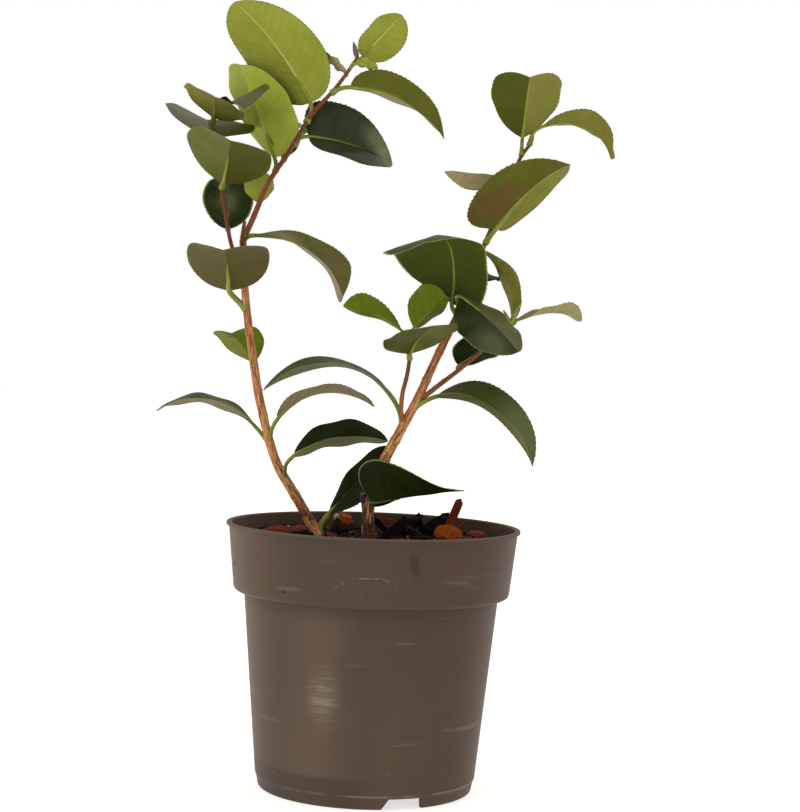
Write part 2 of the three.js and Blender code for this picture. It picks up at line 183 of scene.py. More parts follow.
def soft_lamp(name, place, width, height, power):
    """A large flat lamp that faces the middle of the plant."""
    data = bpy.data.lights.new(name, "AREA")
    data.shape = "RECTANGLE"
    data.size = width
    data.size_y = height
    data.energy = power
    data.color = (1, 0.95, 0.86)
    lamp = link(bpy.data.objects.new(name, data))
    lamp.location = place
    lamp.rotation_euler = (Vector((0, 0, 0.22)) - lamp.location).to_track_quat("-Z", "Y").to_euler()


soft_lamp("key_lamp", (-1.4, -1.3, 1.2), 2.0, 2.0, 8)
soft_lamp("fill_lamp", (1.5, -1.2, 0.9), 1.6, 1.6, 1.5)
soft_lamp("back_lamp", (0.5, 1.3, 1.8), 1.6, 1.0, 4)

floor_reach = 6.0
floor_mesh = bpy.data.meshes.new("floor")
corners = [(x * floor_reach, y * floor_reach, 0) for x, y in ((-1, -1), (1, -1), (1, 1), (-1, 1))]
floor_mesh.from_pydata(corners, [], [(0, 1, 2, 3)])
floor = link(bpy.data.objects.new("floor", floor_mesh))
floor_paint = bpy.data.materials.new("white_floor")
floor_paint.use_nodes = True
floor_shader = floor_paint.node_tree.nodes["Principled BSDF"].inputs
floor_shader["Base Color"].default_value = (0.86, 0.86, 0.86, 1)
floor_shader["Roughness"].default_value = 0.9
floor_shader["Emission Color"].default_value = (1, 1, 1, 1)
floor_shader["Emission Strength"].default_value = 0.62
floor_mesh.materials.append(floor_paint)


# ---- The pot -----------------------------------------------------------------------------------
# A blow-moulded nursery pot of thin taupe plastic: a tapered body, a wide collar with a small lip
# at its top, and a foot ring cut by four notches, with holes in the floor for water to drain.


class Finish(Nodes):
    """A material. Its constants go on the shader's own sockets."""

    def __init__(self, name, constants):
        self.material = bpy.data.materials.new(name)
        self.material.use_nodes = True
        super().__init__(self.material.node_tree)
        self.shader = self.tree.nodes["Principled BSDF"]
        self.give(constants)

    def give(self, sockets):
        for name, value in sockets.items():
            self.plug(self.shader.inputs[name], value)

    def place(self):
        return self.add("ShaderNodeTexCoord", output="Object")

    def axis(self, name):
        return self.part(self.place(), name)

    def told(self, name, output="Fac"):
        """What the piece's points tell under a name."""
        return self.add("ShaderNodeAttribute", output=output, attribute_name=name)

    def stretched(self, x, y, z, where=None):
        """Coordinates times a factor along each axis."""
        return self.add("ShaderNodeMapping", {"Vector": where or self.place(), "Scale": (x, y, z)})

    def away(self, centre, where=None):
        """The distance from a place."""
        ends = {0: where or self.place(), 1: centre}
        return self.add("ShaderNodeVectorMath", ends, output="Value", operation="DISTANCE")

    def grain(self, scale, detail=3.0, where=None, output=0):
        """Soft noise from 0 to 1, about `scale` blotches to the metre."""
        where = where or self.place()
        return self.add("ShaderNodeTexNoise", {"Vector": where, "Scale": scale, "Detail": detail}, output)

    def spots(self, scale, size):
        """1 in the middle of scattered spots, whose size is a share of their spacing."""
        cells = self.add("ShaderNodeTexVoronoi", {"Vector": self.place(), "Scale": scale})
        return cells.rise(size, size * 0.5)

    def bump(self, height, depth, strength=1.0):
        relief = {"Strength": strength, "Distance": depth, "Height": height}
        return self.add("ShaderNodeBump", relief, "Normal")


def rounded_outline(corners):
    """A closed outline through corners (radius, height, rounding), with each corner rounded."""
    outline, steps = [], 4
    for i, (radius, height, rounding) in enumerate(corners):
        corner = Vector((radius, height))
        before = Vector(corners[i - 1][:2]) - corner
        after = Vector(corners[(i + 1) % len(corners)][:2]) - corner
        if rounding == 0:
            outline.append(corner)
            continue
        start = corner + before.normalized() * min(rounding, before.length * 0.45)
        end = corner + after.normalized() * min(rounding, after.length * 0.45)
        for k in range(steps + 1):
            t = k / steps
            outline.append(start * (1 - t) ** 2 + corner * 2 * t * (1 - t) + end * t**2)
    return outline


def mesh_object(name, vertices, faces, smooth=True):
    mesh = bpy.data.meshes.new(name)
    mesh.from_pydata([tuple(v) for v in vertices], [], [tuple(int(i) for i in f) for f in faces])
    if smooth:
        mesh.shade_smooth()
    return link(bpy.data.objects.new(name, mesh))


def clean(mesh, merge=0.002 * MM):
    """Merges doubled vertices and turns every face outwards."""
    work = bmesh.new()
    work.from_mesh(mesh)
    bmesh.ops.remove_doubles(work, verts=work.verts, dist=merge)
    bmesh.ops.recalc_face_normals(work, faces=work.faces)
    work.to_mesh(mesh)
    work.free()


def turned(name, outline, sides):
    """The closed outline (radius, height) in millimetres, turned about the Z axis."""
    turns = np.arange(sides) * 2 * math.pi / sides
    rings = [[(p.x * math.cos(a) * MM, p.x * math.sin(a) * MM, p.y * MM) for a in turns] for p in outline]
    vertices = [v for ring in rings for v in ring]
    faces = []
    for i in range(len(outline)):
        here, there = i * sides, (i + 1) % len(outline) * sides
        for j in range(sides):
            k = (j + 1) % sides
            faces.append((here + j, here + k, there + k, there + j))
    piece = mesh_object(name, vertices, faces)
    clean(piece.data)
    return piece


def prism(outline, near, far):
    """Vertices and faces of the outline (x, z), drawn out along Y from near to far."""
    count = len(outline)
    vertices = [(x, y, z) for y in (near, far) for x, z in outline]
    sides = [(i + count, (i + 1) % count + count, (i + 1) % count, i) for i in range(count)]
    return vertices, [tuple(range(count)), tuple(range(count, 2 * count))[::-1], *sides]


def cut(piece, cutter):
    """Cuts the cutter out of the piece, and removes the cutter."""
    difference = piece.modifiers.new("cut", "BOOLEAN")
    difference.object = cutter
    difference.solver = "EXACT"
    settle(piece)
    bpy.data.objects.remove(cutter)


def settle(piece):
    """Turns what the piece's modifiers make into its mesh, and removes them."""
    depsgraph = bpy.context.evaluated_depsgraph_get()
    made = bpy.data.meshes.new_from_object(piece.evaluated_get(depsgraph))
    piece.modifiers.clear()
    piece.data = made


_, pot_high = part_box("pot")
rim_radius = pot_high.x / MM
pot_height = pot_high.z / MM
wall = 1.5
lip_height = 1.7
collar_top, collar_bottom = 73.8, 70.2
collar_base = 99.5
body_top, body_bottom = 64.9, 56.2
foot_radius, foot_height, foot_wall = 54.5, 6.5, 3.6
pot_floor = foot_height + 1.6

pot = turned(
    "nursery_pot",
    rounded_outline([
        (0, foot_height, 0),
        (foot_radius - foot_wall - 0.6, foot_height, 0.6),
        (foot_radius - foot_wall, 0, 0.5),
        (foot_radius, 0, 1.2),
        (body_bottom - 0.7, foot_height - 1.2, 0.8),
        (body_bottom, foot_height, 1.0),
        (body_top, collar_base, 0.5),
        (collar_bottom, collar_base, 2.2),
        (collar_top - 0.1, pot_height - lip_height, 0.25),
        (rim_radius, pot_height - lip_height, 0.5),
        (rim_radius, pot_height, 0.8),
        (collar_top - wall, pot_height, 0.7),
        (collar_bottom - wall, collar_base + wall, 1.0),
        (body_top - wall, collar_base + wall, 1.0),
        (body_bottom - wall, pot_floor, 2.0),
        (0, pot_floor, 0),
    ]),
    sides=192,
)

notch_width, notch_slope, notch_height = 22, 4, 5.5
notch_turns = (20, 100, 180, 260)
half = notch_width / 2
notch = [(-half, -1), (half, -1), (half, notch_height), (notch_slope - half, notch_height)]
vertices, faces = prism([(x * MM, z * MM) for x, z in notch], -60 * MM, -44 * MM)
cutter = mesh_object("notches", vertices, faces, smooth=False)
ring = bmesh.new()
for degrees in notch_turns:
    ring.from_mesh(cutter.data)
    ring.verts.ensure_lookup_table()
    turn = Matrix.Rotation(math.radians(degrees), 4, "Z")
    bmesh.ops.transform(ring, matrix=turn, verts=ring.verts[-len(vertices):])
hole_radius, hole_circle, holes = 4.5, 34, 6
for i in range(holes):
    angle = (i + 0.5) * 2 * math.pi / holes
    x, y = hole_circle * MM * math.cos(angle), hole_circle * MM * math.sin(angle)
    spot = Matrix.Translation((x, y, 7 * MM))
    bmesh.ops.create_cone(ring, cap_ends=True, segments=32, radius1=hole_radius * MM,
                          radius2=hole_radius * MM, depth=12 * MM, matrix=spot)
ring.to_mesh(cutter.data)
ring.free()
cut(pot, cutter)
pot.data.shade_smooth()
pot.data.set_sharp_from_angle(angle=math.radians(40))

plastic = Finish("taupe_plastic", {"Specular IOR Level": 0.25})
height = plastic.axis("Z")
across_pot = plastic.axis("X")
facing = plastic.axis("Y").rise(0.0, -0.01)
cloud = plastic.grain(9, 4)
streaks = plastic.grain(14, 3, plastic.stretched(4, 4, 0.5))
scuffs = plastic.grain(60, 5, plastic.stretched(0.25, 0.25, 2.5)).rise(0.63, 0.72)
# A soft painted highlight runs down the front of the body on the left, below the collar.
side_highlight = abs(across_pot + 0.025).rise(0.024, 0.0) * facing * height.rise(0.0995, 0.0985)

# A painted highlight low on the front, streaked with fine level rub lines.
rub_lines = plastic.grain(260, 3, plastic.stretched(0.3, 0.3, 3)).rise(0.42, 0.66)
front_highlight = plastic.away((-0.0215, -0.0565, 0.0302), plastic.stretched(1, 1, 0.55)).rise(0.0115, 0.001)

# A curved scratch on the collar.
scratch = abs(plastic.away((-0.002, -0.0708, 0.0935)) - 0.022 + 0.006 * (plastic.grain(80, 2) - 0.5))
scratch = scratch.rise(0.0006, 0.0001) * height.rise(0.108, 0.11) * plastic.grain(190, 3).rise(0.44, 0.6)

# Dust, grit, the painted shade under the collar, and a painted highlight along the ridge over the foot.
dust = plastic.spots(260, 0.11) * plastic.grain(25, 2).rise(0.56, 0.68)
grit = plastic.spots(520, 0.13) * plastic.grain(40, 2).rise(0.58, 0.7)
under_collar = height.rise(0.088, 0.0993) * height.rise(0.0998, 0.0996)
ridge_highlight = abs(height - 0.0067).rise(0.0007, 0.0002) * plastic.grain(60, 3).rise(0.42, 0.6)

# The foot is damp on its left, and a drop has run down the collar.
foot_damp = (height + 0.006 * cloud).rise(0.0195, 0.0165) * across_pot.rise(0.012, -0.012) * facing
run_line = across_pot - (0.02 + 0.14 * (0.128 - height)) - 0.006 * (plastic.grain(70, 1) - 0.5)
run = abs(run_line).rise(0.0030, 0.0016) * height.rise(0.1015, 0.104) * height.rise(0.129, 0.124)
damp = run * plastic.grain(95, 2).rise(0.36, 0.5) * facing

tint = plastic.paint(
    colour(73, 57, 47),
    (cloud.rise(0.35, 0.7), 83, 67, 55),
    (streaks.rise(0.45, 0.75) * 0.35, 76, 61, 53),
    # Painted shade on the pot's right side, and painted light on its left side.
    (across_pot.rise(0.0, 0.065) * 0.8, 68, 46, 31),
    (across_pot.rise(-0.035, -0.068) * 0.7, 92, 71, 54),
    # The painted highlight down the front left of the body.
    (side_highlight * 0.36, 112, 94, 80),
    # Painted shade under the collar.
    (under_collar * 0.45, 58, 45, 37),
    (foot_damp * 0.6, 62, 46, 38),
    (damp * 0.85, 52, 40, 34),
    # The painted highlight low on the front, and scuffs all over.
    (front_highlight * (0.14 + 0.3 * rub_lines) + scuffs * 0.12, 164, 152, 142),
    # The scratch, and the painted highlight along the ridge over the foot.
    (scratch * 0.4 + ridge_highlight * 0.4, 150, 134, 118),
    ((dust + grit * 0.7) * 0.4, 172, 158, 146),
    # A painted highlight along the top edge of the lip.
    (height.rise(0.1330, 0.1334) * 0.35, 120, 106, 98),
)
relief = cloud * 0.6 + plastic.grain(700, 2) * 0.06
plastic.give({
    "Base Color": tint,
    "Roughness": 0.43 + 0.16 * cloud + 0.1 * dust - 0.1 * damp,
    "Normal": plastic.bump(relief, 0.5 * MM, 0.5),
})
pot.data.materials.append(plastic.material)
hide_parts("pot")
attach(pot, "root")


# ---- The potting mix ---------------------------------------------------------------------------
# Dark, damp, crumbly peat and composted bark, filled to a finger's width under the rim. Its top is
# lumpy, and strewn with loose crumbs.

mix_level = 126.0
mix_radius = collar_bottom - wall - 0.35 + (collar_top - collar_bottom) * (mix_level - collar_base) / 34


def mix_height(x, y):
    """The height of the mix's top at a place, in millimetres."""
    lumps = noise.noise(Vector((x / 26, y / 26, 1.3))) * 2.0
    clods = noise.noise(Vector((x / 8, y / 8, 4.1))) * 1.5
    crumbs = noise.noise(Vector((x / 2.6, y / 2.6, 8.7))) * 0.8
    edge = max(0.0, math.hypot(x, y) / mix_radius - 0.8) * 5
    return mix_level + lumps + clods + crumbs - edge


rings, sides = 64, 200
top = [(0, 0, mix_height(0, 0))]
for i in range(1, rings + 1):
    reach = mix_radius * i / rings
    for j in range(sides):
        angle = 2 * math.pi * j / sides
        x, y = reach * math.cos(angle), reach * math.sin(angle)
        top.append((x, y, mix_height(x, y)))
wall_rings = [(mix_radius - 2.2, collar_base + 2), (body_top - 1.9, collar_base + 1.8),
              (body_bottom - 1.9, 8.4)]
for reach, z in wall_rings:
    top += [(reach * math.cos(2 * math.pi * j / sides), reach * math.sin(2 * math.pi * j / sides), z)
            for j in range(sides)]
top.append((0, 0, 8.4))
faces = [(0, 1 + j, 1 + (j + 1) % sides) for j in range(sides)]
for i in range(rings + len(wall_rings) - 1):
    inner, outer = 1 + i * sides, 1 + (i + 1) * sides
    faces += [(inner + j, outer + j, outer + (j + 1) % sides, inner + (j + 1) % sides) for j in range(sides)]
last = 1 + (rings + len(wall_rings) - 1) * sides
faces += [(len(top) - 1, last + (j + 1) % sides, last + j) for j in range(sides)]
mix = mesh_object("potting_mix_top", [tuple(c * MM for c in v) for v in top], faces)
clean(mix.data)

soil = Finish("damp_mix", {"Roughness": 0.9, "Specular IOR Level": 0.25})
flecks = soil.grain(420, 4)
fibres = soil.grain(900, 3, soil.stretched(1, 0.3, 1)).rise(0.6, 0.72)
earth = soil.paint(
    colour(20, 13, 11),
    (flecks.rise(0.35, 0.7), 58, 38, 29),
    (soil.grain(45, 2).rise(0.5, 0.7) * 0.6, 74, 42, 28),
    (fibres * 0.35, 122, 88, 62),
)
soil.give({"Base Color": earth, "Normal": soil.bump(flecks + soil.grain(1500, 2) * 0.4, 1.2 * MM)})
mix.data.materials.append(soil.material)

crumb = Finish("mix_crumb", {"Roughness": 0.88, "Specular IOR Level": 0.25})
kind = crumb.told("kind")
crumb_tone = crumb.paint(
    colour(18, 12, 11), (kind.rise(0.2, 0.9), 78, 46, 32), (kind.rise(0.93, 0.98), 150, 118, 88))
crumb.give({"Base Color": crumb_tone, "Normal": crumb.bump(crumb.grain(1600, 3), 0.4 * MM)})


def node_group(name, sizes):
    """A geometry node tree with named number inputs, and its input and output nodes."""
    tree = bpy.data.node_groups.new(name, "GeometryNodeTree")
    tree.interface.new_socket("Geometry", in_out="INPUT", socket_type="NodeSocketGeometry")
    for size in sizes:
        tree.interface.new_socket(size, in_out="INPUT", socket_type="NodeSocketFloat")
    tree.interface.new_socket("Geometry", in_out="OUTPUT", socket_type="NodeSocketGeometry")
    nodes = Nodes(tree)
    return nodes, nodes.add("NodeGroupInput"), tree.nodes.new("NodeGroupOutput")


def grow(piece, nodes, values):
    """Gives the piece the tree as a modifier, sets its inputs, and keeps what it makes as a mesh."""
    modifier = piece.modifiers.new("grow", "NODES")
    modifier.node_group = nodes.tree
    for item in nodes.tree.interface.items_tree:
        if item.in_out == "INPUT" and item.name in values:
            modifier[item.identifier] = values[item.name]
    settle(piece)


def strewn(name, seed, material):
    """A tree that strews small rough lumps over the upward faces of a mesh, and keeps only them."""
    nodes, given, result = node_group(name, ["Per Square Metre", "Smallest", "Largest", "Flatness", "Sink"])
    add = nodes.add
    faces_up = nodes.part(add("GeometryNodeInputNormal"), "Z").math("GREATER_THAN", 0.4)
    on_top = nodes.part(add("GeometryNodeInputPosition"), "Z").math("GREATER_THAN", (mix_level - 8) * MM)
    upward = add("FunctionNodeBooleanMath", {0: faces_up, 1: on_top}, operation="AND")
    points = add("GeometryNodeDistributePointsOnFaces", {
        "Mesh": given, "Selection": upward, "Density": given.other("Per Square Metre"), "Seed": seed,
    }, distribute_method="RANDOM")
    lump = add("GeometryNodeMeshIcoSphere", {"Radius": 1.0, "Subdivisions": 1})
    rough = add("ShaderNodeTexNoise", {"Scale": 1.7, "Detail": 1.0}, output=1)
    shift = add("ShaderNodeVectorMath", {0: rough, 1: (0.5, 0.5, 0.5)}, operation="SUBTRACT")
    shift = add("ShaderNodeVectorMath", {0: shift, "Scale": 1.1}, operation="SCALE")
    lump = add("GeometryNodeSetPosition", {"Geometry": lump, "Offset": shift})
    turn = add("FunctionNodeRandomValue", {"Min": (0, 0, 0), "Max": (6.3, 6.3, 6.3), "Seed": seed + 1},
               data_type="FLOAT_VECTOR")
    size = add("FunctionNodeRandomValue", {2: 0.0, 3: 1.0, "Seed": seed + 2}, output=1)
    size = given.other("Smallest") + (given.other("Largest") - given.other("Smallest")) * size**3
    flat = add("ShaderNodeCombineXYZ", {0: size, 1: size * 0.7, 2: size * given.other("Flatness")})
    placed = add("GeometryNodeInstanceOnPoints", {
        "Points": points, "Instance": lump, "Rotation": turn, "Scale": flat,
    })
    kind = add("FunctionNodeRandomValue", {2: 0.0, 3: 1.0, "Seed": seed + 3}, output=1)
    placed = add("GeometryNodeStoreNamedAttribute", {"Geometry": placed, "Name": "kind", "Value": kind},
                 data_type="FLOAT", domain="INSTANCE")
    drop = add("ShaderNodeCombineXYZ", {2: 0.0 - given.other("Sink")})
    placed = add("GeometryNodeTranslateInstances",
                 {"Instances": placed, "Translation": drop, "Local Space": False})
    real = add("GeometryNodeRealizeInstances", {"Geometry": placed})
    real = add("GeometryNodeSetMaterial", {"Geometry": real, "Material": material})
    nodes.plug(result.inputs[0], real)
    return nodes


crumbs = link(bpy.data.objects.new("mix_crumbs", mix.data.copy()))
grow(crumbs, strewn("strewn_crumbs", 4, crumb.material), {
    "Per Square Metre": 420000.0, "Smallest": 0.35 * MM, "Largest": 2.0 * MM, "Flatness": 0.6, "Sink": 0.0,
})
for piece in (mix, crumbs):
    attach(piece, "root")
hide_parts("potting_mix")


# ---- The bark chips ----------------------------------------------------------------------------
# Loose splinters and flakes of bark lie on the mix, most of them nearly black and some red-brown.
# A red-brown splinter and a black one stand on end beside a rounded orange flake.

chance = np.random.default_rng(11)


def shard(length, breadth, thickness, corners=11):
    """The vertices of an angular chip about the origin, longest along X."""
    points = chance.uniform(-1, 1, (corners, 3))
    points[:, 1] *= 1 - 0.55 * np.abs(points[:, 0])
    return points * np.array([length, breadth, thickness]) / 2


def flake(length, breadth, thickness, corners=22):
    """The vertices of a rounded flat chip about the origin."""
    angles = np.arange(corners) * 2 * math.pi / corners
    rim = np.stack([np.cos(angles), np.sin(angles), np.zeros(corners)], 1)
    rim[:, :2] *= 1 + chance.uniform(-0.08, 0.08, (corners, 1))
    crown = rim * np.array([0.62, 0.62, 0]) + np.array([0, 0, 1])
    size = np.array([length, breadth, thickness])
    return np.concatenate([rim, crown, crown * np.array([1, 1, -1])]) * size / 2


def splinter(length, breadth, thickness):
    """The vertices of a torn plank about the origin, longest along X."""
    ends = [(x, y, z) for x in (-1, 1) for y in (-1, 0, 1) for z in (-1, 1)]
    points = np.array(ends, float) + chance.uniform(-0.22, 0.22, (12, 3)) * np.array([1, 0.6, 0.6])
    return points * np.array([length, breadth, thickness]) / 2


chips = bmesh.new()
tone = chips.verts.layers.float.new("tone")


def lay_chip(points, place, turn, tone_value):
    """Adds the hull of the points, turned by (x, y, z) degrees and put at a place in millimetres."""
    turning = Matrix.Rotation(math.radians(turn[2]), 3, "Z") @ Matrix.Rotation(math.radians(turn[1]), 3, "Y")
    turning = turning @ Matrix.Rotation(math.radians(turn[0]), 3, "X")
    made = [chips.verts.new((turning @ Vector(p) + Vector(place)) * MM) for p in points]
    for vertex in made:
        vertex[tone] = tone_value
    hull = bmesh.ops.convex_hull(chips, input=made, use_existing_faces=False)
    spare = {v for v in hull["geom_interior"] + hull["geom_unused"] if isinstance(v, bmesh.types.BMVert)}
    bmesh.ops.delete(chips, geom=list(spare), context="VERTS")


ORANGE, RED_BROWN, BROWN, PALE, BLACK = 0.9, 0.7, 0.5, 1.2, 0.1
lay_chip(flake(15, 10, 3.6), (38.7, 11, 129.6), (64, 4, 6), ORANGE)
lay_chip(splinter(19, 4.6, 2.6), (40.5, 16, 137.0), (80, -68, 14), RED_BROWN)
lay_chip(shard(10, 5, 3.0, 14), (45.0, 18, 132.5), (10, -48, 30), RED_BROWN)
lay_chip(shard(20, 11, 5, 15), (19.5, 20, 132.5), (20, -58, 30), BLACK)
lay_chip(shard(17, 9, 5, 15), (25.0, 23, 133.0), (10, -66, 160), BLACK)
lay_chip(shard(19, 12, 5, 16), (31.0, 22, 132.5), (30, -40, 10), BLACK)
lay_chip(shard(16, 9, 5, 15), (35.5, 25, 133.0), (10, -62, 40), BLACK)
lay_chip(shard(22, 11, 5, 16), (10.5, 16, 130.5), (30, -30, 18), BLACK)
lay_chip(shard(15, 8, 4.0, 16), (4.5, 20, 131.5), (24, -40, 160), BLACK)
lay_chip(shard(17, 10, 5, 15), (-12, 12, 129.5), (20, -20, 30), BLACK)
lay_chip(shard(15, 10, 5, 15), (-19, 20, 129.5), (10, -24, 80), BLACK)
lay_chip(shard(18, 9, 5, 15), (10, 4, 129.0), (24, -26, 12), BLACK)
lay_chip(shard(16, 10, 5, 15), (21, 8, 129.5), (24, -30, 150), BLACK)
lay_chip(shard(24, 5, 2.6, 14), (6.5, 40, 132.5), (20, 8, 12), RED_BROWN)
lay_chip(shard(16, 4, 2.6, 14), (14, 34, 131.5), (10, -18, 20), RED_BROWN)
lay_chip(flake(11, 9, 6, 14), (-16, 45, 131.6), (20, 10, 20), ORANGE)
# A pale fleck on the orange flake's left paints the highlight on it.
lay_chip(flake(3, 3, 3, 9), (-20, 42, 133.6), (20, 10, 20), PALE)
lay_chip(flake(20, 12, 3.0), (-49, 10, 128.4), (8, -4, 12), RED_BROWN)
lay_chip(flake(15, 9, 2.6), (-38, 22, 128.2), (16, 2, 30), RED_BROWN)
lay_chip(shard(12, 6, 3.0), (-30, 30, 129.0), (0, -20, 60), RED_BROWN)
lay_chip(flake(14, 9, 3.0), (54, 20, 128.8), (12, 4, 40), RED_BROWN)
for x, y in ((-52, 24), (-45, 34), (-22, 40), (-20, 28), (18, 10), (50, 8), (46, 30), (33, 38),
             (-58, 16), (57, 26)):
    lay_chip(flake(2.2, 1.8, 1.4, 9), (x, y, mix_height(x, y) + 1.2), (10, 10, 0), PALE)
chip_count = 190
for _ in range(chip_count):
    reach = (mix_radius - 7) * math.sqrt(chance.uniform())
    angle = chance.uniform(0, 2 * math.pi)
    x, y = reach * math.cos(angle), reach * math.sin(angle)
    size = 3.5 + 9 * chance.uniform() ** 2
    breadth, thickness = size * chance.uniform(0.35, 0.7), size * chance.uniform(0.16, 0.3)
    is_shard = chance.uniform() < 0.7
    points = shard(size, breadth, thickness) if is_shard else flake(size, breadth, thickness, 12)
    lie = (chance.uniform(-25, 25), chance.uniform(-24, 24), chance.uniform(0, 360))
    dark = chance.uniform()
    shade = BLACK + 0.2 * chance.uniform() if dark < 0.6 else (RED_BROWN if dark < 0.85 else BROWN)
    lay_chip(points, (x, y, mix_height(x, y) + thickness * 0.3), lie, shade + chance.uniform(-0.06, 0.06))
chip_mesh = bpy.data.meshes.new("bark_chips")
chips.to_mesh(chip_mesh)
chips.free()
bark_chips = link(bpy.data.objects.new("bark_chips", chip_mesh))
rounding = bark_chips.modifiers.new("worn_edges", "BEVEL")
rounding.width = 0.25 * MM
rounding.segments = 1
settle(bark_chips)

chip_bark = Finish("chip_bark", {"Roughness": 0.8, "Specular IOR Level": 0.08})
chip_tone = chip_bark.told("tone")
fibre = chip_bark.grain(520, 4, chip_bark.stretched(1, 0.35, 1))
chip_colour = chip_bark.paint(
    colour(17, 10, 10),
    (chip_tone.rise(0.3, 0.52), 86, 54, 36),
    (chip_tone.rise(0.56, 0.68), 112, 52, 34),
    (chip_tone.rise(0.78, 0.86), 168, 82, 38),
    (fibre.rise(0.35, 0.75) * 0.45, 44, 25, 18),
    (chip_tone.rise(1.1, 1.15), 206, 186, 160),
)
chip_bark.give({"Base Color": chip_colour, "Normal": chip_bark.bump(fibre, 0.6 * MM)})
bark_chips.data.materials.append(chip_bark.material)
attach(bark_chips, "root")


# ---- The stems and boughs ----------------------------------------------------------------------
# Two stems and their side shoots, of living wood. Old bark is tan with long brown streaks, younger
# bark is red-brown, and the newest shoots are green. Each shoot grows out of a collar on its parent.


class Curve:
    """A smooth line through points in millimetres, on which places are told by length."""

    def __init__(self, points):
        through = np.array(points, float)
        through = np.concatenate([[2 * through[0] - through[1]], through, [2 * through[-1] - through[-2]]])
        stretches = [self.stretch(*through[i:i + 4]) for i in range(len(through) - 3)]
        self.points = np.concatenate([*stretches, through[-2:-1]])
        steps = np.linalg.norm(np.diff(self.points, axis=0), axis=1)
        self.reach = np.concatenate([[0], np.cumsum(steps)])
        self.length = self.reach[-1]

    @staticmethod
    def stretch(before, start, end, after):
        """The points from start to end of a centripetal Catmull-Rom curve."""
        steps = ((before, start), (start, end), (end, after))
        gaps = [max(np.linalg.norm(b - a) ** 0.5, 1e-4) for a, b in steps]
        leave = (start - before) / gaps[0] - (end - before) / (gaps[0] + gaps[1]) + (end - start) / gaps[1]
        arrive = (end - start) / gaps[1] - (after - start) / (gaps[1] + gaps[2]) + (after - end) / gaps[2]
        leave, arrive = leave * gaps[1], arrive * gaps[1]
        t = np.linspace(0, 1, 40, endpoint=False)[:, None]
        bend = (-3 * start + 3 * end - 2 * leave - arrive) * t**2
        return start + leave * t + bend + (2 * start - 2 * end + leave + arrive) * t**3

    def at(self, length):
        """The points at those lengths. Past its ends the curve runs on straight."""
        length = np.asarray(length, float)
        inside = np.clip(length, 0, self.length)
        place = np.stack([np.interp(inside, self.reach, self.points[:, i]) for i in range(3)], -1)
        return place + self.tangent(length) * (length - inside)[..., None]

    def tangent(self, length):
        middle = np.clip(np.asarray(length, float), 0.3, self.length - 0.3)
        ends = [np.stack([np.interp(middle + d, self.reach, self.points[:, i]) for i in range(3)], -1)
                for d in (-0.3, 0.3)]
        return unit(ends[1] - ends[0])


def unit(vectors):
    return vectors / np.linalg.norm(vectors, axis=-1, keepdims=True)


class Shell:
    """One closed skin: its vertices in millimetres, its faces, and what is told about each of them."""

    def __init__(self, vertices, faces, finish=0, **told):
        self.vertices = np.asarray(vertices, float).reshape(-1, 3)
        self.faces = faces
        self.finish = finish if isinstance(finish, (list, np.ndarray)) else [finish] * len(faces)
        self.told = told


def sweep(curve, lengths, radius, sides, finish=0, **told):
    """A round bar along a curve. radius(length, angle) tells its radius, and its ends are closed."""
    centres, tangents = curve.at(lengths), curve.tangent(lengths)
    angles = np.arange(sides) * 2 * math.pi / sides
    first = np.array([0.0, 1.0, 0.0]) if abs(tangents[0][1]) < 0.7 else np.array([1.0, 0.0, 0.0])
    rings = []
    for centre, tangent, length in zip(centres, tangents, lengths):
        first = unit(first - tangent * first.dot(tangent))
        second = np.cross(tangent, first)
        out = np.cos(angles)[:, None] * first + np.sin(angles)[:, None] * second
        rings.append(centre + out * np.array([radius(length, out[j]) for j in range(sides)])[:, None])
    count = len(lengths)
    vertices = np.concatenate([np.concatenate(rings), [centres[0], centres[-1]]])
    start, end = count * sides, count * sides + 1
    faces = []
    for j in range(sides):
        k = (j + 1) % sides
        faces.append((start, k, j))
        faces.append((end, (count - 1) * sides + j, (count - 1) * sides + k))
        faces += [(i * sides + j, i * sides + k, i * sides + sides + k, i * sides + sides + j)
                  for i in range(count - 1)]
    values = {}
    for name, value in told.items():
        value = np.asarray(value, float)
        if value.ndim == 0:
            value = np.full(count, float(value))
        spread = np.repeat(value, sides, axis=0)
        values[name] = np.concatenate([spread, value[:1], value[-1:]])
    round_about = np.tile(np.stack([np.cos(angles), np.sin(angles)], 1), (count, 1))
    girth = np.concatenate([round_about, np.zeros((2, 2))])
    values["grain"] = np.concatenate([
        girth * 2.5, np.concatenate([np.repeat(lengths, sides), lengths[:1], lengths[-1:]])[:, None]], 1)
    return Shell(vertices, faces, finish, **values)


def piece_of(name, shells, materials):
    """Joins shells into one object, with what they tell as attributes and the materials they use."""
    vertices, faces, finishes, start = [], [], [], 0
    for shell in shells:
        vertices.append(shell.vertices)
        faces += [tuple(int(i) + start for i in face) for face in shell.faces]
        finishes += list(shell.finish)
        start += len(shell.vertices)
    piece = mesh_object(name, np.concatenate(vertices) * MM, faces)
    used = sorted(set(finishes), key=str)
    for finish in used:
        piece.data.materials.append(materials[finish])
    slots = {finish: i for i, finish in enumerate(used)}
    piece.data.polygons.foreach_set("material_index", [slots[finish] for finish in finishes])
    for told in shells[0].told:
        values = np.concatenate([shell.told[told] for shell in shells])
        if told == "flat":
            loops = np.empty(len(piece.data.loops), np.int32)
            piece.data.loops.foreach_get("vertex_index", loops)
            layer = piece.data.uv_layers.new(name=told)
            layer.data.foreach_set("uv", values[loops].ravel())
        elif values.ndim == 2:
            layer = piece.data.attributes.new(told, "FLOAT_VECTOR", "POINT")
            layer.data.foreach_set("vector", values.ravel())
        else:
            layer = piece.data.attributes.new(told, "FLOAT", "POINT")
            layer.data.foreach_set("value", values)
    return piece


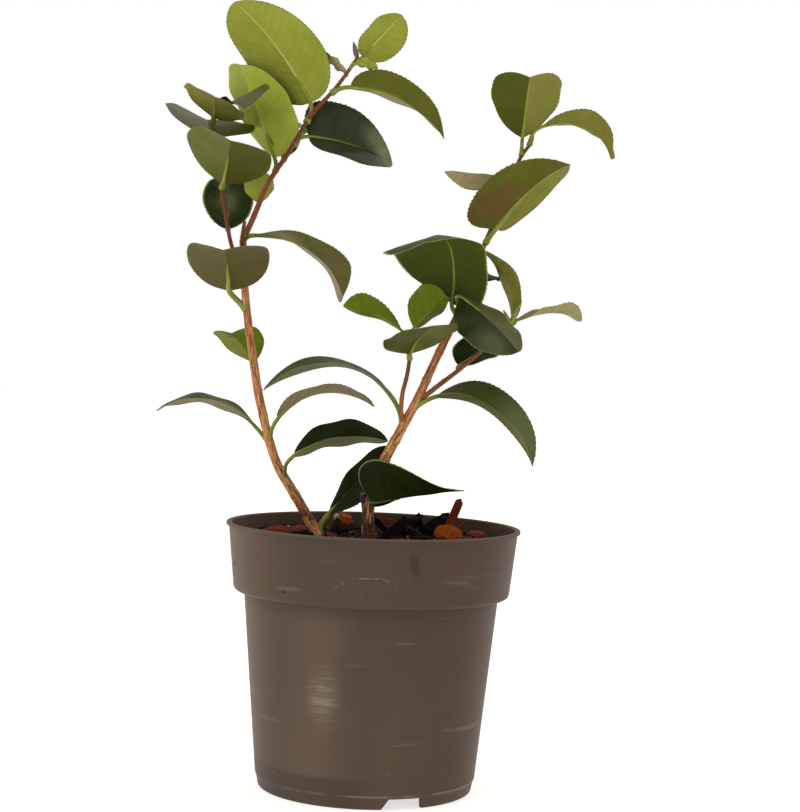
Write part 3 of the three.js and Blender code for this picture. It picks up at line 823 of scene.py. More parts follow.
# Each limb runs through a few points. It starts from its parent `on`, at the share `at` of that
# limb's length, and tapers from its first radius to its second. A flare widens its foot. Its bark
# goes from its first age to its second: 0 is old and tan, 0.5 red-brown, and 1 green.
LIMBS = {
    "left_stem": dict(
        points=[(-28, 18, 124), (-40.5, 17, 145), (-51.5, 15, 163), (-60.5, 11, 193), (-64.5, 9, 213),
                (-69.5, 6, 245), (-72, 4, 277)],
        radius=(2.7, 1.8), flare=0.3, age=(0.0, 0.34), scars=(0.1, 0.16, 0.44, 0.52, 0.7)),
    "left_leader": dict(
        on="left_stem", at=1, points=[(-68, 4, 286), (-60, 3, 306), (-49, 1, 323.5), (-39.5, 0, 340.5),
                                      (-27, -1, 355.5), (-17, -3, 370)],
        radius=(1.5, 0.9), age=(0.42, 0.8), scars=(0.12, 0.26)),
    "left_side": dict(
        on="left_stem", at=0.9, points=[(-77, 2, 272), (-80, 0, 284), (-83, 1, 299), (-86, 6, 318),
                                        (-90, 9, 336)],
        radius=(1.1, 0.8), age=(0.28, 1.0), scars=(0.12,)),
    "left_spur": dict(
        on="left_stem", at=0.96, points=[(-72, -1, 278), (-71, -2, 286)], radius=(1.2, 0.9), age=(0.5, 0.5)),
    "right_stem": dict(
        points=[(-2, -4, 122), (-3, -5, 140), (0, -5, 157), (12, -5, 183), (19, -5, 197), (30, -3, 223),
                (40, 0, 245)],
        radius=(3.1, 1.8), flare=0.2, age=(-0.3, 0.45), scars=(0.36, 0.44, 0.7, 0.82)),
    "right_leader": dict(
        on="right_stem", at=1, points=[(45, 1, 262), (52, 2, 281), (62, 3, 307), (68, 3, 324), (72, 3, 330)],
        radius=(1.5, 0.9), age=(0.3, 0.6), scars=(0.3, 0.62)),
    "right_inner": dict(
        on="right_stem", at=0.52, points=[(12, -8, 191), (12, -10, 201), (14, -12, 211), (15, -12, 219)],
        radius=(1.2, 1.0), age=(0.3, 0.62), scars=(0.4, 0.7)),
    "right_outer": dict(
        on="right_stem", at=0.6, points=[(31, -6, 207), (43, -6, 217), (65, -4, 238)],
        radius=(1.3, 0.9), age=(0.36, 0.6), scars=(0.3, 0.45, 0.62, 0.8)),
}
root = 9.0
curves = {}
for name, limb in LIMBS.items():
    points = list(limb["points"])
    if "on" in limb:
        parent = curves[limb["on"]]
        points.insert(0, tuple(parent.at(limb["at"] * parent.length)))
    curves[name] = Curve(points)


def bark_radius(name, number):
    """How thick a limb is at a length and on a side, with its flare, collar, scars and streaks."""
    limb, curve = LIMBS[name], curves[name]
    collar = LIMBS[limb["on"]]["radius"][1] + 0.4 if "on" in limb else 0.0

    def radius(length, out):
        share = min(max(length / curve.length, 0), 1)
        thick = limb["radius"][0] + (limb["radius"][1] - limb["radius"][0]) * share
        swell = 1 + limb.get("flare", 0) * math.exp(-max(length, 0) / 6)
        if collar:
            swell += 0.3 * math.exp(-max(length - collar, 0) / 1.6)
        for scar in limb.get("scars", ()):
            swell += 0.13 * math.exp(-((length - scar * curve.length) / 0.55) ** 2)
        age = limb["age"][0] + (limb["age"][1] - limb["age"][0]) * share
        rough = 0.055 if age < 0.5 else 0.02
        if age < -0.05:
            rough = 0.1
        lean = Vector(out) * 1.7
        streak = noise.noise(Vector((lean.x + number * 7, lean.y + lean.z, length / 11)))
        pit = noise.noise(Vector((lean.x * 2.2, lean.y * 2.2 + lean.z, length / 2.4 + number)))
        return thick * (swell + rough * 1.3 * streak + rough * 0.8 * pit)

    return radius


def limb_shell(name, number):
    curve = curves[name]
    start = 0.0 if "on" in LIMBS[name] else -root
    lengths = np.linspace(start, curve.length, int((curve.length - start) / 0.7))
    ages = np.interp(lengths / curve.length, (0, 1), LIMBS[name]["age"])
    shell = sweep(curve, lengths, bark_radius(name, number), 24, age=ages)
    shell.told["grain"][:, 2] += number * 61
    return shell


limb_shells = {name: limb_shell(name, number) for number, name in enumerate(LIMBS)}
stub_foot, stub_top = np.array([-2.6, -5, 136]), np.array([-5.8, -4.8, 150.8])
stub_curve = Curve([stub_foot, stub_top])


def stub_radius(length, out):
    ragged = noise.noise(Vector(out) * 2.2 + Vector((0, 0, length / 6)))
    return (2.6 - 0.6 * length / stub_curve.length) * (1 + 0.12 * ragged)


stub_lengths = np.linspace(0, stub_curve.length, 22)
stub = sweep(stub_curve, stub_lengths, stub_radius, 24, age=np.linspace(-0.3, -0.7, 22))

bark = Finish("living_bark", {"Specular IOR Level": 0.35})
age = bark.told("age")
grain_place = bark.told("grain", "Vector")
along_grain = bark.stretched(1, 1, 0.12, grain_place)
long_streak = bark.grain(1.3, 4, along_grain)
fine_streak = bark.grain(3.4, 3, along_grain)
cross_crack = bark.grain(1.0, 3, bark.stretched(0.5, 0.5, 0.8, grain_place))
muddy = bark.axis("Z").rise(0.145, 0.133) * bark.grain(170, 3).rise(0.44, 0.54)
skin = bark.paint(
    colour(214, 146, 88),
    (age.rise(0.08, 0.42), 164, 96, 56),
    (age.rise(0.4, 0.62), 128, 64, 30),
    (age.rise(0.66, 0.95), 122, 118, 44),
    (long_streak.rise(0.5, 0.3) * age.rise(0.5, 0.2) * 0.75, 232, 190, 142),
    (long_streak.rise(0.5, 0.62) * 0.85, 104, 52, 30),
    (fine_streak.rise(0.54, 0.64) * 0.6, 86, 44, 24),
    (cross_crack.rise(0.58, 0.7) * age.rise(0.7, 0.3) * 0.55, 92, 50, 30),
    (age.rise(-0.05, -0.25) * long_streak.rise(0.4, 0.52) * 0.9, 44, 26, 22),
    (age.rise(-0.4, -0.6) * cross_crack.rise(0.62, 0.5), 40, 22, 24),
    (muddy * 0.85, 58, 26, 22),
)
bark_relief = long_streak + fine_streak * 0.5 + cross_crack * 0.3
bark.give({
    "Base Color": skin,
    "Roughness": 0.45 + 0.2 * long_streak,
    "Normal": bark.bump(bark_relief, 0.45 * MM, 0.9),
})
for side, extra in (("left", []), ("right", [stub])):
    names = [name for name in LIMBS if name.startswith(side)]
    limbs = piece_of(side + "_limbs", [*(limb_shells[name] for name in names), *extra], {0: bark.material})
    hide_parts(*names)
    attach(limbs, "root")


# ---- The leaves --------------------------------------------------------------------------------
# Leathery camellia leaves with finely toothed margins, each on a short stalk. Their upper sides are
# glossy, their undersides dull, and the young ones near the tips are thin and bright.

# A leaf leaves its limb `on` at the share `at` of its length. Its stalk reaches to the blade's foot,
# `stalk` mm away. It is `stout` times as thick as most, has the finish `stem`, and lies `sink` mm
# deeper under the blade. The blade's chord points along `heading` (degrees from +X towards +Y) and
# `rise` (degrees above level). `arch` bends the midrib and `sway` bows it sideways. `roll` turns the
# blade about its chord, with `twist` more of it from foot to tip, and `fold` lifts its halves. It is
# widest at the share `widest`, a small `foot` or `tip` leaves that end blunt, `uneven` widens its
# left half, `slant` slides a half's side along it, and `quilt` deepens the swell between its veins.
# `upper`, `under` and `rim` are the finishes of its sides and of its margin, `rim_width` mm wide,
# and its midrib is pale up to the share `rib`. A pair of values is for the right and the left half.
# A patch (share, aside, reach, strength) is brown where its strength is above 0, or else a pale painted
# sheen.
LEFT_LOW = {
    "leaf_left_foot": dict(
        on="left_stem", at=-0.045, stalk=(0.6, 0, 19), heading=352, rise=50, length=48, width=29, arch=12,
        roll=38, fold=4, uneven=-0.3, widest=0.6, foot=0.9, upper="night", rib=0.0, stout=1.5, sink=0.5),
    "leaf_left_low_inner": dict(
        on="left_stem", at=0.22, stalk=(4.5, -10, 13), heading=354, rise=11, length=49, width=29, arch=60,
        roll=26, fold=10, foot=0.5, upper=("sheen", "night")),
    "leaf_left_low_outer": dict(
        on="left_stem", at=0.3, stalk=(-9, -1, 14), heading=173, rise=8, length=54, width=24, arch=90,
        roll=-12, fold=4, uneven=0.3, widest=0.72, foot=0.9, upper=("deep", "bloom"),
        patches=((0.35, 4, 6, -0.9),)),
    "leaf_left_mid_inner": dict(
        on="left_stem", at=0.345, stalk=(4, -6, 13.5), heading=354, rise=9, length=50, width=21, arch=90,
        roll=8, fold=(45, 8), uneven=0.3, foot=0.5, upper=("sheen", "deep"), under="bloom"),
    "leaf_left_back": dict(
        on="left_stem", at=0.62, stalk=(0, 6, -1.5), heading=118, rise=26, length=33, width=27, arch=20,
        roll=-22, fold=(14, 34), uneven=0.1, widest=0.6, tip=0.45, upper=("fresh", "lime"), under="lime",
        patches=((0.9, 4, 4, 1.0),)),
    "leaf_left_front": dict(
        on="left_stem", at=0.78, stalk=(-9, -4, 9), heading=270, rise=18, length=56, width=43, arch=60,
        roll=1, fold=(15, 15), uneven=0.02, widest=0.36, foot=0.35, tip=1.3, under="dusky", rib=0.35,
        stout=1.35, sink=0.7),
    "leaf_left_fork": dict(
        on="left_leader", at=0, stalk=(6, -3, 2), heading=342, rise=-31, length=57, width=25, arch=80,
        roll=-30, twist=-60, fold=10, uneven=-0.15, widest=0.86, foot=0.7, tip=0.5,
        under=("dusky", "bloom"), patches=((0.12, 0, 10, -0.7),)),
    "leaf_left_leader": dict(
        on="left_leader", at=0.18, stalk=(-0.5, 5, 1), heading=97, rise=40, length=25, width=17, arch=20,
        fold=20, foot=0.55, tip=0.5, upper="spring", under="spring"),
}
LEFT_TOP = {
    "lowest_young": dict(
        on="left_leader", at=0.35, stalk=(-1, 4, 7.5), heading=158, rise=66, length=52, width=45, arch=10,
        sway=-1, roll=64, fold=20, uneven=-0.1, widest=0.46, foot=0.5, tip=0.55, under="spring", rib=1.0,
        slant=(0.7, -0.3), quilt=0.25),
    "lower_rear": dict(
        on="left_leader", at=0.42, stalk=(-1, 6, 2), heading=106, rise=40, length=44, width=22, arch=30,
        roll=15, fold=12),
    "glossy": dict(
        on="left_leader", at=0.5, stalk=(7.5, 4, 5), heading=20, rise=-13, length=47, width=34, arch=40,
        roll=62, fold=20, uneven=0.2, widest=0.4, foot=0.5, tip=0.6, upper="dark", rib=0.6,
        slant=(0, -0.5), patches=((0.85, 6, 6, -0.5), (0.95, -2, 5, -0.45))),
    "upper_rear": dict(
        on="left_leader", at=0.56, stalk=(3, 6, 2), heading=78, rise=-4, length=46, width=27, arch=40,
        roll=10, fold=12),
    "largest_young": dict(
        on="left_leader", at=0.62, stalk=(1.5, 3, 10.5), heading=172, rise=51, length=65, width=45,
        arch=10, sway=3, roll=64, fold=14, uneven=-0.1, widest=0.42, foot=0.45, tip=0.6, under="lime",
        rib=1.0, slant=(0.3, -0.35), quilt=0.3),
    "drooping": dict(
        on="left_leader", at=0.8, stalk=(9.5, -2, 3), heading=350, rise=-27, length=55, width=21, arch=75,
        roll=-42, fold=32, uneven=-0.1, widest=0.3, foot=0.5, tip=1.0, under=("olive", "pale")),
    "narrow": dict(
        on="left_leader", at=0.9, stalk=(0.5, 3, 2), heading=160, rise=34, length=18, width=8, arch=10,
        roll=40, fold=10, under="straw"),
    "smallest": dict(
        on="left_leader", at=0.94, stalk=(3, -3.5, 2.5), heading=345, rise=-12, length=12, width=10,
        arch=30, roll=-30, fold=10, upper="lime", under="lime"),
    "highest": dict(
        on="left_leader", at=0.97, stalk=(4.5, 2, 4), heading=15, rise=49, length=30, width=22, arch=5,
        roll=-110, fold=20, uneven=0.06, widest=0.52, foot=0.5, tip=0.5, under=("lime", "lime"), rib=0.9),
    "side_glossy": dict(
        on="left_side", at=0.3, stalk=(-0.5, 4, -0.5), heading=95, rise=48, length=38, width=27, arch=15,
        fold=12, widest=0.5, foot=0.55, tip=0.5, upper="dark", rib=0.0, rim="rim_bright",
        patches=((0.5, 0, 6, -0.4),), rim_width=0.9),
    "side_front": dict(
        on="left_side", at=0.56, stalk=(1, -3, 2), heading=278, rise=18, length=54, width=45, arch=25,
        roll=-11, fold=(19, 7), uneven=-0.04, foot=0.5, tip=0.6, under=("olive", "moss")),
    "side_rear": dict(
        on="left_side", at=0.85, stalk=(-4, -12, 2.5), heading=96, rise=16, length=52, width=49, arch=20,
        roll=12, fold=12, upper=("moss", "sheen")),
    "side_upper": dict(
        on="left_side", at=1, stalk=(1, -4, 2), heading=275, rise=8, length=42, width=34, arch=10,
        roll=-24, fold=8, uneven=-0.08, under="khaki", rim="rim_bright"),
    "side_folded": dict(
        on="left_side", at=1, stalk=(2, -3, 5), heading=292, rise=-4, length=46, width=27, arch=40,
        fold=30, uneven=0.6, upper="sheen", under="olive", rim="rim_bright"),
}
RIGHT_LOW = {
    "leaf_right_foot": dict(
        on="right_stem", at=0.22, stalk=(0.7, -8, -5), heading=340, rise=11, length=49, width=32, arch=10,
        roll=-35, twist=80, fold=(28, 58), uneven=-0.4, widest=0.22, foot=0.4, tip=1.6, under="night",
        rib=0.0, rim="rim_bright", slant=(-0.6, -0.5), stem="stalk_dark", rim_width=0.7, sink=0.9),
    "leaf_right_long": dict(
        on="right_stem", at=0.5, stalk=(-6.5, -1, 15), heading=190, rise=1, length=65, width=22, arch=106,
        roll=-15, fold=5, uneven=0.3, widest=0.55, foot=0.7, upper=("deep", "sheen")),
    "leaf_right_drooping": dict(
        on="right_stem", at=0.575, stalk=(11.5, -5.5, 7), heading=348, rise=-33, length=60, width=20,
        arch=122, roll=38, twist=24, fold=5, uneven=0.35, widest=0.36, foot=0.55, tip=0.85,
        upper=("sheen", "deep"), rib=0.3, slant=(-0.6, 0), patches=((0.72, 3, 9, -0.3),)),
    "leaf_right_knuckle": dict(
        on="right_outer", at=0.45, stalk=(0, 4, 2), heading=50, rise=20, length=34, width=24, arch=20,
        roll=20, fold=15, upper="night", rim="rim_bright", rim_width=0.7),
    "leaf_right_hanging": dict(
        on="right_stem", at=1, stalk=(0, -15.5, 6.2), heading=325, rise=-38, length=43, width=33, arch=20,
        roll=14, fold=(-35, -10), widest=0.44, tip=0.55, upper=("dark", "sheen"),
        patches=((0.75, -8, 7, -0.3),)),
    "leaf_right_broad": dict(
        on="right_stem", at=0.98, stalk=(-3.5, -2, 5.5), heading=251, rise=31, length=55, width=50,
        arch=125, roll=-9, twist=20, fold=(-21, -3), uneven=-0.2, widest=0.55, foot=0.14, tip=0.55,
        upper="deep", under="dim", rib=0.6, rim="rim_bright", slant=(0.3, -0.1), rim_width=0.9,
        patches=((0.1, 0, 17, -0.14),)),
    "leaf_right_tucked": dict(
        on="right_leader", at=0.2, stalk=(1, 5, -1), heading=66, rise=8, length=23, width=20, arch=20,
        roll=30, fold=15, upper="night", patches=((0.7, 3, 8, -0.3),)),
}
RIGHT_TOP = {
    "long": dict(
        on="right_leader", at=0.4, stalk=(5, -3, 7), heading=314, rise=33, length=57, width=30, arch=60,
        roll=-36, fold=(24, 20), uneven=-0.3, widest=0.4, foot=0.32, tip=1.0, under=("olive", "khaki"),
        rib=1.0, slant=(-0.6, 0.1), patches=((0.2, -8, 6, 1.2), (0.42, -4, 5, 1.0))),
    "rear": dict(
        on="right_leader", at=0.52, stalk=(1, 6, 2), heading=78, rise=14, length=46, width=27, arch=30,
        fold=12),
    "pale": dict(
        on="right_leader", at=0.84, stalk=(-3, 1, -4), heading=165, rise=5, length=34, width=24, arch=10,
        roll=20, fold=-25, upper="straw", under="straw"),
    "heart": dict(
        on="right_leader", at=0.93, stalk=(0, 0, 9), heading=271, rise=42, length=40, width=38, arch=10,
        fold=22, widest=0.54, foot=0.5, tip=0.5, under=("moss", "khaki"), rib=1.0, slant=0.22),
    "bent": dict(
        on="right_leader", at=1, stalk=(5.5, 0, 9.5), heading=338, rise=-23, length=41, width=20, arch=86,
        sway=-6, roll=-66, fold=(8, 60), widest=0.6, foot=1.0, upper="khaki", under="khaki"),
    "inner_front": dict(
        on="right_inner", at=1, stalk=(0, -3, 3), heading=284, rise=20, length=40, width=38, arch=20,
        roll=8, fold=(0, 6), uneven=0.06, under=("moss", "olive")),
    "inner_upright": dict(
        on="right_inner", at=1, stalk=(1.5, 2, 16), heading=318, rise=38, length=26, width=24, arch=20,
        roll=-60, fold=(30, 62), uneven=-0.25, foot=0.5, tip=0.6, under="fresh"),
    "inner_side": dict(
        on="right_inner", at=1, stalk=(-4, 3, 14), heading=190, rise=21, length=33, width=14, arch=50,
        roll=45, fold=20, uneven=0.25, widest=0.72, foot=1.3, under="fresh"),
    "outer_upright": dict(
        on="right_outer", at=1, stalk=(2, 4, 3), heading=197, rise=60, length=41, width=16, arch=80,
        roll=12, fold=10, widest=0.4, tip=1.1, under="khaki"),
    "outer_side": dict(
        on="right_outer", at=1, stalk=(4, 0, 3), heading=346, rise=5, length=33, width=14, arch=40,
        roll=-8, twist=-90, fold=15, widest=0.8, tip=0.45, upper="pale", under="pale"),
}

LEAVES = {"left_low_leaves": LEFT_LOW, "left_top_leaves": LEFT_TOP, "right_low_leaves": RIGHT_LOW,
          "right_top_leaves": RIGHT_TOP}

blade_thickness = 0.46
rim_width = 0.36
dish = math.radians(0.1)
tooth_spacing = 2.1
vein_spacing, vein_slope, vein_curve = 5.4, 0.62, 0.013


def direction(heading, rise):
    """The way that points along a heading and a rise, in degrees."""
    h, r = math.radians(heading), math.radians(rise)
    return np.array([math.cos(r) * math.cos(h), math.cos(r) * math.sin(h), math.sin(r)])


def both_halves(value):
    """What is told of a leaf's right half and of its left half."""
    return value if isinstance(value, tuple) else (value, value)


def halfwise(value, aside):
    """What is told of the half that each place is on."""
    right, left = both_halves(value)
    return np.where(aside > 0, left, right)


def half_width(leaf, u):
    """Half the blade's width at the share u of its length."""
    widest = leaf.get("widest", 0.46)
    to_foot = np.clip((widest - u) / widest, 0, 1)
    to_tip = np.clip((u - widest) / (1 - widest), 0, 1)
    shape = (1 - to_foot**2.2) ** leaf.get("foot", 0.62) * (1 - to_tip**2.2) ** leaf.get("tip", 0.7)
    return leaf["width"] / 2 * np.maximum(shape, 0.03)


def blade_point(leaf, foot, u, aside, above):
    """Points of a blade: u runs from its foot to its tip, `aside` is the distance from the midrib
    to the left, and `above` the height over its middle surface."""
    along = direction(leaf["heading"], leaf["rise"])
    up = unit(np.array([0, 0, 1.0]) - along * along[2])
    up_left = np.cross(along, up)

    def turned(degrees):
        angle = np.radians(degrees)[..., None]
        return up * np.cos(angle) + up_left * np.sin(angle)

    side, reach = np.sign(aside), np.abs(aside) * (1 + leaf.get("uneven", 0) * np.sign(aside))
    u = u + halfwise(leaf.get("slant", 0), aside) * reach / leaf["length"]
    whole = math.radians(leaf["arch"])
    radius = leaf["length"] / (2 * math.sin(whole / 2))
    turn = whole / 2 - u * whole
    forward = radius * (math.sin(whole / 2) - np.sin(turn))
    off = radius * (np.cos(turn) - math.cos(whole / 2))
    roll = leaf.get("roll", 0)
    rolled = turned(roll + leaf.get("twist", 0) * (u - 0.5))
    left = np.cross(rolled, along)
    face = rolled * np.cos(turn)[..., None] - along * np.sin(turn)[..., None]
    lift = np.radians(halfwise(leaf["fold"], aside))
    flat_part = leaf["width"] * 0.2
    arc = leaf["width"] * 0.3 / dish
    straight = np.minimum(reach, flat_part)
    lean = lift + np.maximum(reach - flat_part, 0) / arc
    sideways = side * (straight * np.cos(lift) + arc * (np.sin(lean) - np.sin(lift)) + above * -np.sin(lean))
    sideways = sideways + leaf.get("sway", 0) * 4 * u * (1 - u)
    height = straight * np.sin(lift) - arc * (np.cos(lean) - np.cos(lift)) + above * np.cos(lean)
    place = foot + along * forward[..., None] + turned(np.array(roll)) * off[..., None]
    return place + left * sideways[..., None] + face * height[..., None]


def leaf_foot(leaf):
    """Where a leaf's stalk leaves its limb, and where its blade starts."""
    curve = curves[leaf["on"]]
    node = curve.at(leaf["at"] * curve.length)
    return node, node + np.array(leaf["stalk"], float)


def rib_width(leaf, u):
    """Half the width of the midrib."""
    return (0.22 + 0.85 * (1 - np.clip(u, 0, 1)) ** 1.8) * (leaf["length"] / 52) ** 0.5


def both_sides(over, below=None):
    """Values of the upper side's points, then of the underside's, which shares the upper's margins."""
    below = over if below is None else below
    return np.concatenate([side.reshape(-1, *side.shape[2:]) for side in (over, below[:, 1:-1])])


def blade_shell(leaf, number):
    """The closed skin of a leaf's blade, with its teeth, rim, midrib and the swell between veins."""
    _, foot = leaf_foot(leaf)
    rows, columns = int(leaf["length"] / 0.45), 9
    u = (np.arange(rows + 1) / rows)[:, None]
    half = half_width(leaf, u)
    rib = np.minimum(rib_width(leaf, u), half * 0.4)
    rim = np.minimum(leaf.get("rim_width", rim_width), half * 0.2)
    tooth = (u * leaf["length"] / tooth_spacing + number * 0.37) % 1.0
    teeth = np.minimum(0.42, half * 0.2) * (tooth**1.5 - 0.5)
    between_rib_and_rim = rib + (half - rim - rib) * np.arange(columns) / (columns - 1)
    offsets = np.concatenate([rib * 0, between_rib_and_rim, half + teeth], 1)
    aside = np.concatenate([-offsets[:, :0:-1], offsets], 1)
    across = aside.shape[1]
    u_wide = np.repeat(u, across, axis=1)
    span = np.abs(aside) / half
    vein = u_wide * leaf["length"] - np.abs(aside) * vein_slope - aside**2 * vein_curve
    vein = vein / vein_spacing + np.where(aside > 0, 0.35, 0.0)
    between = np.abs(np.sin(math.pi * vein)) ** 0.6 - 0.6
    swell = leaf.get("quilt", 0.12) * between * np.clip(span * 5, 0, 1) * np.clip((1 - span) * 4, 0, 1)
    phase = number * 1.7 + np.where(aside > 0, 2.1, 0.0)
    ripple = np.sin(u_wide * 2 * math.pi * (2.1 + 0.6 * math.sin(number)) + phase)
    wave = 0.7 * span**2 * ripple * np.sin(math.pi * u_wide) ** 0.5
    hollow = np.sin(u_wide * leaf["length"] / 2.9 + number) * np.sin(aside / 2.3 + 2.2 * number)
    hollow = hollow + np.sin(u_wide * leaf["length"] / 4.7 - aside / 3.9 + 3.1 * number)
    wave = wave + 0.16 * hollow * np.clip((1 - span) * 3, 0, 1) * np.sin(math.pi * u_wide)
    thick = blade_thickness / 2 * (1 - 0.45 * np.clip(span, 0, 1) ** 2)
    on_rib = np.clip(1 - np.abs(aside) / (rib * 1.02), 0, 1)
    top = wave + swell + thick - 0.3 * on_rib * np.clip(rib * 1.4, 0, 1)
    under = wave + swell * 0.7 - thick - 0.5 * on_rib * np.clip(rib * 1.6, 0, 1)
    top[:, (0, -1)] = under[:, (0, -1)] = wave[:, (0, -1)]
    over, below = (blade_point(leaf, foot, u_wide, aside, above) for above in (top, under))
    vertices = both_sides(over, below)
    upper_index = np.arange((rows + 1) * across).reshape(rows + 1, across)
    under_index = upper_index.copy()
    under_index[:, 1:-1] = (rows + 1) * across + np.arange((rows + 1) * (across - 2)).reshape(rows + 1, -1)
    flat = np.stack([u_wide * leaf["length"] / 100, 0.5 + aside / 100], -1)
    # Brown blotches from patches above 0, and painted sheen from patches below 0.
    stain_and_sheen = np.zeros_like(aside)
    for at_u, at_aside, reach, strength in leaf.get("patches", ()):
        away = np.hypot((u_wide - at_u) * leaf["length"] / 1.5, aside - at_aside) / reach
        stain_and_sheen = stain_and_sheen + strength * np.clip(1.5 - away, 0, 1)
    pale_rib = on_rib * np.clip((leaf.get("rib", 0.5) - u_wide) * 3 + 0.3, 0, 1)

    middle = across // 2
    upper, underside = both_halves(leaf.get("upper", "dark")), both_halves(leaf.get("under", "olive"))
    rim_finish = leaf.get("rim", "rim")
    faces, finishes = [], []
    for c in range(across - 1):
        left_half = int(c >= middle)
        over, below = upper[left_half], underside[left_half]
        if c in (0, across - 2):
            over = below = rim_finish
        for r in range(rows):
            faces.append((upper_index[r, c], upper_index[r + 1, c], upper_index[r + 1, c + 1],
                          upper_index[r, c + 1]))
            faces.append((under_index[r, c], under_index[r, c + 1], under_index[r + 1, c + 1],
                          under_index[r + 1, c]))
            finishes += [over, below]
        faces.append((upper_index[0, c], upper_index[0, c + 1], under_index[0, c + 1], under_index[0, c]))
        faces.append((upper_index[-1, c + 1], upper_index[-1, c], under_index[-1, c], under_index[-1, c + 1]))
        finishes += [rim_finish, rim_finish]
    faces = [tuple(dict.fromkeys(face)) for face in faces]
    tone = np.full(len(vertices), chance.uniform())
    return Shell(vertices, faces, finishes, flat=both_sides(flat), tone=tone, stain_and_sheen=both_sides(stain_and_sheen),
                 rib=both_sides(pale_rib))


def leaf_finish(name, first, second, vein, rib, vein_strength, roughness, specular, coat):
    """A leaf's skin: two mottled colours, a midrib, side veins that bend to the tip, and a fine net."""
    leaf_skin = Finish(name, {"Specular IOR Level": specular, "Coat Weight": coat, "Coat Roughness": 0.22})
    flat = leaf_skin.add("ShaderNodeUVMap", uv_map="flat")
    along = leaf_skin.part(flat, "X") * 100
    side = (leaf_skin.part(flat, "Y") - 0.5) * 100
    aside = abs(side)
    phase = side.rise(-0.001, 0.001) * 0.35
    wobble = leaf_skin.grain(160, 2) - 0.5
    line = (along - aside * vein_slope - aside * aside * vein_curve + wobble * 1.6) / vein_spacing + phase
    distance = abs(line.math("FRACT") - 0.5)
    vein_mask = distance.rise(0.44, 0.5) * aside.rise(0.2, 1.2)
    net = leaf_skin.add("ShaderNodeTexVoronoi", {"Vector": flat, "Scale": 85.0}, feature="DISTANCE_TO_EDGE")
    mottle = leaf_skin.grain(70, 4)
    stain_and_sheen = leaf_skin.told("stain_and_sheen")
    # The second colour also gathers along the side veins, a painted shading of the swell between them.
    blend = mottle.rise(0.3, 0.7) * 0.5 + leaf_skin.told("tone") * 0.25 + distance * 0.5
    skin = leaf_skin.paint(
        colour(*first),
        (blend, *second),
        (vein_mask * vein_strength, *vein),
        # Brown blotches where a patch is above 0, and a pale painted sheen where it is below 0.
        (stain_and_sheen.rise(0.0, 0.9) * leaf_skin.grain(110, 4).rise(0.25, 0.6) * 0.9, 104, 80, 44),
        (stain_and_sheen.rise(0.0, -1.0) * (0.6 + 0.4 * mottle), 150, 154, 114),
        (leaf_skin.told("rib").rise(0.0, 0.4) * 0.85, *rib),
    )
    height = (0 - vein_mask) * 0.5 + net.rise(0.0, 0.12) * 0.22 + leaf_skin.grain(500, 3) * 0.5
    leaf_skin.give({
        "Base Color": skin,
        "Roughness": roughness + 0.14 * (mottle - 0.5) + 0.06 * net.rise(0.1, 0.0),
        "Normal": leaf_skin.bump(height, 0.22 * MM, 0.6),
    })
    return leaf_skin.material


def plain_finish(name, first, second, roughness):
    """The skin of a margin or a stalk, in two mottled colours."""
    plain = Finish(name, {"Roughness": roughness, "Specular IOR Level": 0.4})
    plain.give({"Base Color": plain.paint(colour(*first), (plain.grain(120, 3).rise(0.35, 0.65), *second))})
    return plain.material


# Each skin's two colours, those of its veins and its midrib, how strong its veins show, and its
# roughness, reflection and wax.
dark_rib, green_rib = (104, 120, 44), (150, 156, 66)
LEAF_SKINS = {
    "dark": ((30, 44, 14), (42, 56, 20), (78, 94, 40), dark_rib, 0.14, 0.34, 0.3, 0.1),
    # A dull dark green, partly the leaves' own colour and partly painted shade.
    "night": ((26, 36, 8), (34, 44, 12), (56, 66, 26), dark_rib, 0.12, 0.55, 0.05, 0.0),
    "deep": ((60, 72, 30), (72, 84, 38), (92, 104, 58), dark_rib, 0.12, 0.42, 0.12, 0.0),
    "sheen": ((98, 100, 58), (82, 84, 44), (122, 122, 84), dark_rib, 0.14, 0.5, 0.25, 0.0),
    # A pale grey-brown with a painted sheen, also given to pale undersides.
    "bloom": ((156, 144, 112), (130, 120, 88), (158, 150, 118), green_rib, 0.14, 0.55, 0.2, 0.0),
    "fresh": ((92, 112, 14), (110, 128, 24), (140, 150, 56), green_rib, 0.16, 0.55, 0.08, 0.0),
    # A young leaf's green, made paler with painted light.
    "spring": ((186, 198, 84), (164, 178, 62), (206, 210, 118), (204, 208, 124), 0.2, 0.55, 0.08, 0.0),
    "lime": ((160, 168, 70), (138, 146, 50), (182, 184, 94), (190, 194, 112), 0.2, 0.55, 0.08, 0.0),
    "khaki": ((132, 130, 60), (114, 114, 46), (148, 146, 78), green_rib, 0.14, 0.55, 0.08, 0.0),
    "olive": ((98, 102, 34), (86, 90, 28), (124, 126, 56), green_rib, 0.14, 0.55, 0.08, 0.0),
    "moss": ((84, 88, 26), (72, 76, 20), (102, 106, 42), green_rib, 0.14, 0.55, 0.08, 0.0),
    "dusky": ((96, 90, 48), (84, 78, 40), (118, 112, 68), green_rib, 0.14, 0.55, 0.08, 0.0),
    # An underside darkened with painted shade.
    "dim": ((78, 86, 27), (62, 72, 19), (86, 98, 34), green_rib, 0.14, 0.5, 0.08, 0.0),
    "pale": ((156, 148, 104), (138, 132, 84), (172, 166, 122), green_rib, 0.16, 0.55, 0.2, 0.0),
    # The pale leaves' colour, made paler with painted light.
    "straw": ((190, 178, 132), (172, 160, 112), (204, 194, 150), green_rib, 0.16, 0.55, 0.1, 0.0),
}
leaf_materials = {name: leaf_finish("leaf_" + name, *skin) for name, skin in LEAF_SKINS.items()}
